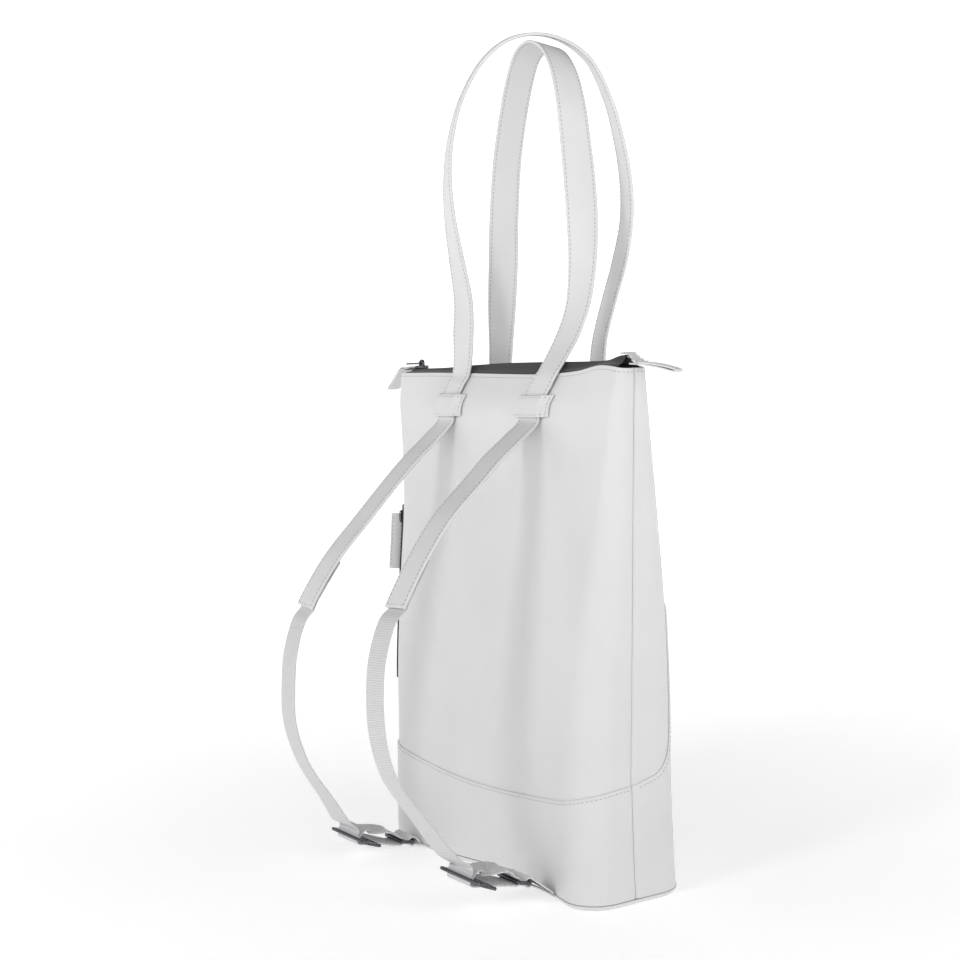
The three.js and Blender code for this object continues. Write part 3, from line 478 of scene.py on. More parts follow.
def outward(points: np.ndarray, faces: Faces) -> Faces:
    """Turn the faces of a closed mesh so that they point out.

    Args:
        points: Points, one row each.
        faces: Corners of each face, all turned the same way.

    Returns:
        The faces, reversed where they pointed in.
    """
    fans = np.array([(f[0], b, c) for f in faces for b, c in zip(f[1:-1], f[2:])])
    a, b, c = (points[fans[:, k]] for k in range(3))
    inside = np.sum(a * np.cross(b, c))
    return [f[::-1] for f in faces] if inside < 0 else faces


def lengths(points: np.ndarray) -> np.ndarray:
    """Distance of each point of a line from its start, along the line."""
    return np.concatenate([[0], np.cumsum(np.linalg.norm(np.diff(points, axis=0), axis=1))])


def slab(name: str, outer: np.ndarray, inner: np.ndarray) -> bpy.types.Object:
    """Make a closed sheet of some thickness from two grids of points.

    Args:
        name: The piece's name.
        outer: Grid of points on the outer side.
        inner: Grid of the same size on the inner side.

    Returns:
        The new object.
    """
    rows, cols = outer.shape[:2]
    under = rows * cols
    index = np.arange(under).reshape(rows, cols)
    a, b, c, d = index[:-1, :-1], index[:-1, 1:], index[1:, 1:], index[1:, :-1]
    top = np.stack([a, b, c, d], axis=-1).reshape(-1, 4)
    bottom = np.stack([a, d, c, b], axis=-1).reshape(-1, 4) + under
    rim = np.concatenate([index[0, ::-1], index[1:, 0], index[-1, 1:], index[-2:0:-1, -1]])
    after = np.roll(rim, -1)
    edge = np.stack([rim, after, after + under, rim + under], axis=-1)
    faces = [tuple(f) for f in np.concatenate([top, bottom, edge]).tolist()]
    points = np.concatenate([outer.reshape(-1, 3), inner.reshape(-1, 3)])
    across = np.linalg.norm(np.diff(outer, axis=1, prepend=outer[:, :1]), axis=2).cumsum(axis=1)
    along = np.linalg.norm(np.diff(outer, axis=0, prepend=outer[:1]), axis=2).cumsum(axis=0)
    places = np.stack([across, along], axis=-1).reshape(-1, 2)
    return make_object(name, points, outward(points, faces), np.concatenate([places, places]))


@dataclass(frozen=True)
class Route:
    """Rows of a strip: the middle of each, the direction of its width and of its outer face."""

    middle: np.ndarray
    across: np.ndarray
    face: np.ndarray

    def line(self, shift: float, lift: float, start: float, end: float) -> np.ndarray:
        """Points along the strip at a shift across it and a lift off its middle.

        Args:
            shift: Distance across the strip.
            lift: Distance out along its face.
            start: Share of the rows to start from.
            end: Share of the rows to end at.

        Returns:
            A row of points.
        """
        last = len(self.middle) - 1
        rows = slice(int(start * last), int(end * last) + 1)
        return (self.middle + shift * self.across + lift * self.face)[rows]


def along_curve(stops: np.ndarray, steps: int) -> np.ndarray:
    """Points of a smooth curve through stops, spaced evenly between each two stops.

    Args:
        stops: The points that the curve passes.
        steps: How many steps the whole curve takes.

    Returns:
        One more point than steps.
    """
    first, last = 2 * stops[0] - stops[1], 2 * stops[-1] - stops[-2]
    padded = np.concatenate([[first], stops, [last]])
    t = np.linspace(0, len(stops) - 1, steps + 1)
    i = np.minimum(t.astype(int), len(stops) - 2)
    w = (t - i)[:, None]
    p0, p1, p2, p3 = (padded[i + k] for k in range(4))
    pairs = ((p0, p1), (p1, p2), (p2, p3))
    d0, d1, d2 = (np.linalg.norm(b - a, axis=1)[:, None] ** 0.5 for a, b in pairs)
    m1 = ((p1 - p0) / d0 - (p2 - p0) / (d0 + d1) + (p2 - p1) / d1) * d1
    m2 = ((p2 - p1) / d1 - (p3 - p1) / (d1 + d2) + (p3 - p2) / d2) * d1
    c2 = -3 * p1 + 3 * p2 - 2 * m1 - m2
    c3 = 2 * p1 - 2 * p2 + m1 + m2
    return p1 + m1 * w + c2 * w**2 + c3 * w**3


@dataclass(frozen=True)
class Stop:
    """A point that a strip passes, with the turn and tilt of its width there in degrees."""

    at: np.ndarray
    turn: float = 0.0
    tilt: float = 0.0


def route_through(stops: Sequence[Stop], steps: int) -> Route:
    """Lay a strip on a smooth curve through stops.

    Args:
        stops: The points and width directions.
        steps: How many rows less one the strip has.

    Returns:
        The strip's rows.
    """
    middle = along_curve(np.array([s.at for s in stops]), steps)
    t = np.linspace(0, len(stops) - 1, steps + 1)
    knots = np.arange(len(stops))
    turn = np.radians(np.interp(t, knots, [s.turn for s in stops]))
    tilt = np.radians(np.interp(t, knots, [s.tilt for s in stops]))
    along = unit(np.gradient(middle, axis=0))
    width = np.stack([np.cos(turn) * np.cos(tilt), np.sin(turn) * np.cos(tilt), np.sin(tilt)], axis=1)
    across = unit(width - np.sum(width * along, axis=1)[:, None] * along)
    return Route(middle, across, np.cross(across, along))


def sweep(
    name: str,
    route: Route,
    section: np.ndarray,
    closed: bool = False,
    widths: np.ndarray | None = None,
) -> bpy.types.Object:
    """Carry a section along a strip's rows.

    Args:
        name: The piece's name.
        route: The rows.
        section: Points round the section, as distances across and out.
        closed: Whether the last row joins the first.
        widths: Share of the section's width at each row, where the strip tapers.

    Returns:
        The new object.
    """
    rows, around = len(route.middle), len(section)
    shares = np.ones(rows) if widths is None else widths
    shift = shares[:, None, None] * section[None, :, :1]
    grid = route.middle[:, None] + shift * route.across[:, None] + section[None, :, 1:] * route.face[:, None]
    index = np.arange(rows * around).reshape(rows, around)
    this = index if closed else index[:-1]
    after = np.roll(index, -1, axis=0) if closed else index[1:]
    quads = np.stack([this, np.roll(this, -1, axis=1), np.roll(after, -1, axis=1), after], axis=-1)
    faces = [tuple(f) for f in quads.reshape(-1, 4).tolist()]
    if not closed:
        faces.append(tuple(index[0, ::-1].tolist()))
        faces.append(tuple(index[-1].tolist()))
    points = grid.reshape(-1, 3)
    pair = np.broadcast_arrays(section[None, :, 0], lengths(route.middle)[:, None])
    return make_object(name, points, outward(points, faces), np.stack(pair, axis=-1).reshape(-1, 2))


def resample(points: np.ndarray, pitch: float) -> tuple[np.ndarray, np.ndarray]:
    """Places at an even pitch along a line, with the direction at each.

    Args:
        points: The line.
        pitch: Distance between places.

    Returns:
        The places and the directions.
    """
    length = lengths(points)
    count = max(int(length[-1] / pitch), 1)
    spots = (np.arange(count) + 0.5) * length[-1] / count
    nudge = 0.5
    at, ahead, behind = (
        np.stack([np.interp(spots + by, length, points[:, k]) for k in range(3)], axis=1)
        for by in (0.0, nudge, -nudge)
    )
    return at, unit(ahead - behind)


def stitches(
    name: str,
    lines: Sequence[np.ndarray],
    pitch: float = STITCH_PITCH,
    length: float = STITCH_LENGTH,
    radius: float = THREAD_RADIUS,
) -> bpy.types.Object:
    """Sew rows of short thread stitches, each a bead that dips into its holes.

    Args:
        name: The piece's name.
        lines: The lines to sew along.
        pitch: Distance from stitch to stitch.
        length: Length of a stitch.
        radius: Half the thread's thickness.

    Returns:
        One object that holds all the stitches.
    """
    pairs = [resample(line, pitch) for line in lines]
    at = np.concatenate([p[0] for p in pairs])
    along = np.concatenate([p[1] for p in pairs])
    helper = np.where(np.abs(along[:, 2:3]) < 0.9, np.array([[0.0, 0, 1]]), np.array([[1.0, 0, 0]]))
    side = unit(np.cross(along, helper))
    around = 6
    rings = ((-0.5, 0.35), (-0.3, 0.9), (0.3, 0.9), (0.5, 0.35))
    tip = 0.53 * length
    angles = np.linspace(0, 2 * math.pi, around, endpoint=False)
    local = [
        (length * reach, radius * share * math.cos(a), radius * share * math.sin(a))
        for reach, share in rings
        for a in angles
    ]
    bead = np.array([*local, (-tip, 0.0, 0.0), (tip, 0.0, 0.0)])
    points = at[:, None] + bead @ np.stack([along, side, np.cross(side, along)], axis=1)
    head_ring, tail = (len(rings) - 1) * around, len(rings) * around
    shape: Faces = []
    for k in range(around):
        j = (k + 1) % around
        shape.extend((r + k, r + j, r + j + around, r + k + around) for r in range(0, head_ring, around))
        shape.append((tail, j, k))
        shape.append((tail + 1, head_ring + k, head_ring + j))
    faces = [tuple(i + n * len(bead) for i in f) for n in range(len(at)) for f in shape]
    return make_object(name, points.reshape(-1, 3), faces, None)


def soften(piece: bpy.types.Object, width: float, segments: int = 2) -> None:
    """Round the sharp rims of a piece by a width in millimetres."""
    bevel = piece.modifiers.new("round rims", "BEVEL")
    bevel.width = width * MM
    bevel.segments = segments
    bevel.limit_method = "ANGLE"
    bevel.angle_limit = math.radians(50)
    bevel.harden_normals = True


# Materials

# Crest to crest of the wave texture at a scale of 1, in millimetres
WAVE_PITCH = 314.0


def linear(code: str) -> tuple[float, float, float, float]:
    """Turn an sRGB hex colour into linear light."""
    parts = [int(code[k : k + 2], 16) / 255 for k in (1, 3, 5)]
    r, g, b = (p / 12.92 if p <= 0.04045 else ((p + 0.055) / 1.055) ** 2.4 for p in parts)
    return (r, g, b, 1.0)


def add_node(
    tree: bpy.types.NodeTree,
    kind: str,
    settings: Settings | None = None,
    links: Links | None = None,
) -> bpy.types.Node:
    """Add a node with its settings and links.

    Args:
        tree: The material's or world's nodes.
        kind: Blender's name of the node type, without its first words.
        settings: Values of sockets, by name or number, and of the node's own options.
        links: Sockets that feed the node's inputs.

    Returns:
        The new node.
    """
    node = tree.nodes.new(f"ShaderNode{kind}")
    for key, value in (settings or {}).items():
        if isinstance(key, int) or key in node.inputs:
            node.inputs[key].default_value = value
        else:
            setattr(node, key, value)
    for key, socket in (links or {}).items():
        tree.links.new(socket, node.inputs[key])
    return node


@dataclass(frozen=True)
class Finish:
    """A material, named after the real one and how that is made."""

    name: str

    def surface(self, tree: bpy.types.NodeTree) -> tuple[Settings, Links]:
        """Add the material's own nodes and give what the shader is set to and fed with."""
        raise NotImplementedError

    def make(self) -> bpy.types.Material:
        """Build the material."""
        material = bpy.data.materials.new(self.name)
        material.use_nodes = True
        tree = material.node_tree
        tree.nodes.clear()
        shader = add_node(tree, "BsdfPrincipled", *self.surface(tree))
        add_node(tree, "OutputMaterial", None, {"Surface": shader.outputs["BSDF"]})
        return material


@dataclass(frozen=True)
class CoatedLeather(Finish):
    """Cowhide split with a pressed polyurethane coat.

    The coat gives an even off-white with a soft sheen. The press leaves pebbles under a millimetre
    across, and handling leaves patches that are a little smoother or greyer.
    """

    name: str = "coated white leather"
    colour: str = "#d3d3d4"
    shade: str = "#cacacb"
    pebble_mm: float = 0.9
    roughness: float = 0.5

    def surface(self, tree: bpy.types.NodeTree) -> tuple[Settings, Links]:
        """Greyer patches, pebbles with pores between them, and smoother spots."""
        metres = add_node(tree, "TexCoord").outputs["Object"]
        blotches = {"Scale": 14.0, "Detail": 3.0, "Roughness": 0.6}
        patch = add_node(tree, "TexNoise", blotches, {"Vector": metres})
        ends = {"data_type": "RGBA", 6: linear(self.colour), 7: linear(self.shade)}
        colour = add_node(tree, "Mix", ends, {0: patch.outputs["Fac"]})
        cells = {"feature": "SMOOTH_F1", "Scale": 1000.0 / self.pebble_mm, "Smoothness": 0.6}
        pebble = add_node(tree, "TexVoronoi", cells, {"Vector": metres})
        pores = add_node(tree, "TexNoise", {"Scale": 2600.0, "Detail": 2.0}, {"Vector": metres})
        heights = {0: pores.outputs["Fac"], 2: pebble.outputs["Distance"]}
        relief = add_node(tree, "Math", {"operation": "MULTIPLY_ADD", 1: 0.35}, heights)
        press = {"Strength": 0.35, "Distance": 0.00012}
        grain = add_node(tree, "Bump", press, {"Height": relief.outputs[0]})
        wear = add_node(tree, "TexNoise", {"Scale": 30.0, "Detail": 4.0}, {"Vector": metres})
        low, high = self.roughness - 0.05, self.roughness + 0.07
        span = {"From Min": 0.3, "From Max": 0.7, "To Min": low, "To Max": high}
        gloss = add_node(tree, "MapRange", span, {"Value": wear.outputs["Fac"]}).outputs["Result"]
        settings = {"IOR": 1.48, "Coat Weight": 0.06, "Coat Roughness": 0.35}
        links = {"Base Color": colour.outputs[2], "Roughness": gloss, "Normal": grain.outputs["Normal"]}
        return settings, links


@dataclass(frozen=True)
class WovenTape(Finish):
    """Dyed polyester twill, woven. Fine diagonal threads, matt, with a slight fuzz at grazing light."""

    name: str = "woven polyester tape"
    colour: str = "#2c2c2e"
    # Colour of the painted shade in the gaps between the threads
    shade: str = "#1d1d1f"
    thread_mm: float = 0.785

    def surface(self, tree: bpy.types.NodeTree) -> tuple[Settings, Links]:
        """Diagonal threads, with painted shade darkening the gaps between them."""
        flat = add_node(tree, "UVMap", {"uv_map": "flat"}).outputs["UV"]
        bands = {"bands_direction": "DIAGONAL", "Scale": WAVE_PITCH / self.thread_mm, "Distortion": 0.4}
        twill = add_node(tree, "TexWave", bands, {"Vector": flat}).outputs["Fac"]
        # Painted shade: the colour turns to the shade colour where the twill wave, and so the bump, is low
        ends = {"data_type": "RGBA", 6: linear(self.shade), 7: linear(self.colour)}
        shaded_colour = add_node(tree, "Mix", ends, {0: twill})
        relief = add_node(tree, "Bump", {"Strength": 0.6, "Distance": 0.0002}, {"Height": twill})
        settings = {"Roughness": 0.85, "Sheen Weight": 0.25, "Sheen Roughness": 0.5, "IOR": 1.5}
        return settings, {"Base Color": shaded_colour.outputs[2], "Normal": relief.outputs["Normal"]}


@dataclass(frozen=True)
class RibbedWebbing(Finish):
    """Polyester webbing, woven with a rib across its width. Painted shade in the grooves between the ribs
    shows as fine grey bars.
    """

    name: str = "ribbed polyester webbing"
    colour: str = "#cbcbcc"
    # Colour of the painted shade in the grooves between the ribs
    shade: str = "#b9b9bb"
    rib_mm: float = 2.0
    yarn_mm: float = 0.8

    def surface(self, tree: bpy.types.NodeTree) -> tuple[Settings, Links]:
        """Ribs across the webbing, with the fine yarns along it."""
        flat = add_node(tree, "UVMap", {"uv_map": "flat"}).outputs["UV"]
        bars = {"bands_direction": "Y", "Scale": WAVE_PITCH / self.rib_mm, "Distortion": 0.15}
        rib = add_node(tree, "TexWave", bars, {"Vector": flat}).outputs["Fac"]
        lines = {"bands_direction": "X", "Scale": WAVE_PITCH / self.yarn_mm, "Distortion": 0.3}
        yarn = add_node(tree, "TexWave", lines, {"Vector": flat}).outputs["Fac"]
        height = add_node(tree, "Math", {"operation": "MULTIPLY_ADD", 1: 0.25}, {0: yarn, 2: rib})
        # Painted shade: the colour turns to the shade colour where the rib wave, and so the bump, is low
        ends = {"data_type": "RGBA", 6: linear(self.shade), 7: linear(self.colour)}
        shaded_colour = add_node(tree, "Mix", ends, {0: rib})
        relief = add_node(tree, "Bump", {"Strength": 0.4, "Distance": 0.0003}, {"Height": height.outputs[0]})
        settings = {"Roughness": 0.8, "Sheen Weight": 0.2, "Sheen Roughness": 0.5, "IOR": 1.5}
        return settings, {"Base Color": shaded_colour.outputs[2], "Normal": relief.outputs["Normal"]}


@dataclass(frozen=True)
class PlatedMetal(Finish):
    """Zinc alloy, cast and gunmetal plated. Dark and polished, with faint tumbling marks."""

    name: str = "gunmetal plated zinc"
    colour: str = "#5a5a5f"
    roughness: float = 0.26

    def surface(self, tree: bpy.types.NodeTree) -> tuple[Settings, Links]:
        """Tumbling marks, seen in the gloss and as a faint relief."""
        metres = add_node(tree, "TexCoord").outputs["Object"]
        marks = add_node(tree, "TexNoise", {"Scale": 900.0, "Detail": 3.0}, {"Vector": metres}).outputs["Fac"]
        span = {"To Min": self.roughness - 0.08, "To Max": self.roughness + 0.1}
        gloss = add_node(tree, "MapRange", span, {"Value": marks}).outputs["Result"]
        relief = add_node(tree, "Bump", {"Strength": 0.1, "Distance": 0.00005}, {"Height": marks})
        settings = {"Base Color": linear(self.colour), "Metallic": 1.0}
        return settings, {"Roughness": gloss, "Normal": relief.outputs["Normal"]}


@dataclass(frozen=True)
class SewingThread(Finish):
    """Bonded polyester thread, twisted. Its grey is partly the thread's own and partly painted shade of the
    stitch holes, a few shades under the leather, so rows read as dots.
    """

    name: str = "bonded thread with painted hole shade"
    # Thread grey, darkened below its own colour as painted shade of the stitch holes
    colour: str = "#a2a2a4"
    twist_mm: float = 0.5

    def surface(self, tree: bpy.types.NodeTree) -> tuple[Settings, Links]:
        """The twist of the yarns as a fine diagonal relief."""
        metres = add_node(tree, "TexCoord").outputs["Object"]
        strands = {"bands_direction": "DIAGONAL", "Scale": WAVE_PITCH / self.twist_mm}
        twist = add_node(tree, "TexWave", strands, {"Vector": metres}).outputs["Fac"]
        relief = add_node(tree, "Bump", {"Strength": 0.3, "Distance": 0.0001}, {"Height": twist})
        settings = {"Base Color": linear(self.colour), "Roughness": 0.6, "IOR": 1.5}
        return settings, {"Normal": relief.outputs["Normal"]}


@dataclass(frozen=True)
class NylonCoil(Finish):
    """Nylon zip teeth, moulded. Small, dark and slightly glossy."""

    name: str = "moulded nylon teeth"
    colour: str = "#232325"

    def surface(self, tree: bpy.types.NodeTree) -> tuple[Settings, Links]:
        """Uneven gloss from the mould."""
        metres = add_node(tree, "TexCoord").outputs["Object"]
        cloud = add_node(tree, "TexNoise", {"Scale": 400.0}, {"Vector": metres}).outputs["Fac"]
        gloss = add_node(tree, "MapRange", {"To Min": 0.32, "To Max": 0.48}, {"Value": cloud})
        return {"Base Color": linear(self.colour), "IOR": 1.53}, {"Roughness": gloss.outputs["Result"]}


@dataclass(frozen=True)
class SeamlessPaper(Finish):
    """Backdrop paper, calendered, with a painted glow that brings it to white. It gives a pale ground with
    soft shadows, the glow dimmer near the bag.
    """

    name: str = "seamless backdrop paper with painted glow"
    colour: str = "#ececec"
    near_glow: float = 0.4
    far_glow: float = 0.82
    near_m: float = 0.25
    far_m: float = 1.7

    def surface(self, tree: bpy.types.NodeTree) -> tuple[Settings, Links]:
        """A painted glow that grows away from the bag, standing in for paper lit from behind it."""
        metres = add_node(tree, "TexCoord").outputs["Object"]
        away = add_node(tree, "VectorMath", {"operation": "LENGTH"}, {0: metres}).outputs["Value"]
        reach = {"From Min": self.near_m, "From Max": self.far_m}
        span = {**reach, "To Min": self.near_glow, "To Max": self.far_glow}
        # Painted light: the paper emits, less near the bag so that the shadows there show
        glow = add_node(tree, "MapRange", span, {"Value": away})
        settings = {"Base Color": linear(self.colour), "Roughness": 0.9, "Emission Color": linear("#ffffff")}
        return settings, {"Emission Strength": glow.outputs["Result"]}


def made(finish: type[Finish]) -> bpy.types.Material:
    """Make a material field that is built once, when the finishes are."""
    return field(default_factory=lambda: finish().make())


@dataclass
class Finishes:
    """The materials of the bag, made once each."""

    leather: bpy.types.Material = made(CoatedLeather)
    tape: bpy.types.Material = made(WovenTape)
    webbing: bpy.types.Material = made(RibbedWebbing)
    metal: bpy.types.Material = made(PlatedMetal)
    thread: bpy.types.Material = made(SewingThread)
    teeth: bpy.types.Material = made(NylonCoil)
    paper: bpy.types.Material = made(SeamlessPaper)


def dress(piece: bpy.types.Object, material: bpy.types.Material, slot: str, *nodes: str) -> None:
    """Give a piece its material, seat it on the bag and hide the solids that it replaces.

    Args:
        piece: The piece.
        material: Its finish.
        slot: The record's material slot that the finish belongs to; not used.
        nodes: The plain solids that the piece replaces.
    """
    piece.data.materials.append(material)
    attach(piece, BODY)
    if nodes:
        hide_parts(*nodes)
    LOG.info("made %s", piece.name)


@dataclass(frozen=True)
class Strip:
    """A flat strip: its size, how deep its stitching pulls it in and how far that is from its edges."""

    width: float
    thickness: float
    groove: float
    inset: float
    groove_reach: float = 0.7
    edge_share: float = 0.45
    dome_share: float = 0.05

    def section(self) -> np.ndarray:
        """The cut across the strip: a faint dome, round edges and a groove under each stitch line.

        Returns:
            Points round the section, as distances across and out.
        """
        radius = self.edge_share * self.thickness
        flat = self.width / 2 - radius
        shift = np.linspace(-flat, flat, 25)
        from_line = (np.abs(shift) - self.width / 2 + self.inset) / self.groove_reach
        fall = self.dome_share * self.thickness * (shift / flat) ** 2
        lift = self.thickness / 2 - self.groove * np.exp(-(from_line**2)) - fall
        arc = np.radians([72, 45, 15, -15, -45, -72])
        top = np.stack([shift, lift], axis=1)
        edge = np.stack([flat + radius * np.cos(arc), self.thickness / 2 * np.sin(arc)], axis=1)
        return np.concatenate([top, edge, -top, -edge])

    def make(
        self,
        node: str,
        route: Route,
        leather: bpy.types.Material,
        widths: np.ndarray | None = None,
    ) -> None:
        """Lay the strip in leather in place of its solid.

        Args:
            node: The solid that it replaces.
            route: The strip's rows.
            leather: Its material.
            widths: Share of the width at each row, where the strip tapers.
        """
        piece = sweep(f"{node}_leather", route, self.section(), widths=widths)
        dress(piece, leather, "leather", node)

    def seams(self, route: Route, sunk: float, start: float, end: float) -> list[np.ndarray]:
        """Stitch lines along both edges, on both faces.

        Args:
            route: The strip's rows.
            sunk: How deep the thread lies under the flat of the face.
            start: Share of the rows to start from.
            end: Share of the rows to end at.

        Returns:
            The four lines.
        """
        reach, lift = self.width / 2 - self.inset, self.thickness / 2 - sunk
        return [route.line(a * reach, b * lift, start, end) for a in (-1, 1) for b in (-1, 1)]


# Sub-assemblies


@dataclass(frozen=True)
class Patch:
    """One piece of the body's leather, from the base seam up to a line."""

    node: str
    face: Face
    line: Callable[[np.ndarray], np.ndarray]
    proud: float
    rows: int
    thickness: float
    pared: float


@dataclass
class BagBody:
    """The hollow leather body: two panels, the boot, the front pocket and the base."""

    finishes: Finishes
    seam_tuck: float = 1.1
    seam_share: float = 0.008
    overlay: float = 1.2
    pared: float = 0.5
    pared_reach: float = 1.5
    rim: float = 0.5
    hem_stitch_drop: float = 3.2
    boot_stitch_drop: float = 3.0
    stitch_lift: float = 0.05
    stitch_end: float = 0.012
    floor_insets: tuple[float, ...] = (8.0, 16.0, 0.5 * HALF_DEPTH, 0.75 * HALF_DEPTH)

    @property
    def proud(self) -> float:
        """How far the boot and the pocket stand out from the body."""
        return self.overlay + FIT / 2

    def places(self, count: int) -> np.ndarray:
        """Places round a half, close together at the side seams and corners."""
        near = np.array([0, 0.003, 0.007, 0.013, 0.022, 0.035])
        half = np.concatenate([near, np.linspace(0.05, 0.5, count)])
        return np.concatenate([half, 1 - half[-2::-1]])

    def make(self, patch: Patch) -> None:
        """Make one leather patch, pared towards its top edge and tucked in at the side seams.

        Args:
            patch: Which piece of leather it is.
        """
        place = self.places(60)
        if patch.line is pocket_line:
            dense = np.linspace(0.14, 0.22, 40)
            place = np.unique(np.concatenate([place, dense, 1 - dense]))
        bottom = SEAM_HEIGHT + FIT
        top = patch.line(place)[None, :]
        height = bottom + (top - bottom) * np.linspace(0, 1, patch.rows)[:, None]
        across = np.broadcast_to(place, height.shape)
        pared = patch.pared * np.exp(-(((top - height) / self.pared_reach) ** 2))
        tuck = self.seam_tuck * np.exp(-((np.minimum(across, 1 - across) / self.seam_share) ** 2))
        outer = skin(patch.face, across, height, tuck + pared - patch.proud)
        inner = skin(patch.face, across, height, tuck + patch.thickness - patch.proud)
        piece = slab(f"{patch.node}_leather", outer, inner)
        soften(piece, self.rim)
        dress(piece, self.finishes.leather, "leather", patch.node)

    def build(self) -> None:
        """Make the leather of the body and its stitching."""
        self.make(Patch("back_panel", Face.BACK, hem_line, 0.0, 130, WALL, 0.0))
        self.make(Patch("front_panel", Face.FRONT, hem_line, 0.0, 130, WALL, 0.0))
        self.make(Patch("lower_back", Face.BACK, boot_line, self.proud, 60, self.overlay, self.pared))
        self.make(Patch("front_pocket", Face.FRONT, pocket_line, self.proud, 60, self.overlay, self.pared))
        dress(self.base(), self.finishes.leather, "leather", "base_panel")
        dress(stitches("body_stitches", self.seams()), self.finishes.thread, "leather")

    def seams(self) -> list[np.ndarray]:
        """Lines of the body's stitching: both hems, the boot and the pocket without its sharp turns."""
        out = -self.proud - self.stitch_lift
        place = np.linspace(self.stitch_end, 1 - self.stitch_end, 500)
        hem = hem_line(place) - self.hem_stitch_drop
        lines = [skin(face, place, hem, -2 * self.stitch_lift) for face in Face]
        lines.append(skin(Face.BACK, place, boot_line(place) - self.boot_stitch_drop, out))
        fine = np.linspace(self.stitch_end, 1 - self.stitch_end, 3000)
        edge = skin(Face.FRONT, fine, pocket_line(fine), -self.proud)
        inward = 0.5 + 0.985 * (fine - 0.5)
        inner = skin(Face.FRONT, inward, pocket_line(fine) - self.boot_stitch_drop, out)
        lines.append(inner[np.linalg.norm(edge - inner, axis=1) < 3 * self.boot_stitch_drop])
        return lines

    def base(self) -> bpy.types.Object:
        """Make the bottom with its rounded edge, as rings of points that shrink under the bag."""
        place = self.places(40)
        edge = SEAM_HEIGHT - FIT
        proud = WALL + FIT
        radius = edge - WALL

        def ring(z: float, inset: float) -> np.ndarray:
            """One ring of points round both halves."""
            height = np.full_like(place, z)
            back, front = skin(Face.BACK, place, height, inset), skin(Face.FRONT, 1 - place, height, inset)
            return np.concatenate([back, front])

        angles = np.linspace(0, math.pi / 2, 8)
        rings = [ring(SEAM_HEIGHT * (1 - math.sin(t)), edge * (1 - math.cos(t)) - proud) for t in angles]
        rings.extend(ring(0.0, inset) for inset in self.floor_insets)
        stack, around = len(rings), len(rings[0])
        for t in angles:
            rings.append(ring(SEAM_HEIGHT - radius * math.sin(t), radius * (1 - math.cos(t)) - FIT))
        rings.extend(ring(WALL, inset) for inset in self.floor_insets)
        points = np.concatenate(rings)
        under = stack * around
        last = under - around
        faces: Faces = [tuple(range(last, under)), tuple(range(2 * under - 1, under + last - 1, -1))]
        for j in range(around):
            k = (j + 1) % around
            for a in range(0, last, around):
                b = a + around
                faces.append((a + j, a + k, b + k, b + j))
                faces.append((under + a + j, under + b + j, under + b + k, under + a + k))
            faces.append((k, j, under + j, under + k))
        return make_object("base_leather", points, outward(points, faces), points[:, :2])


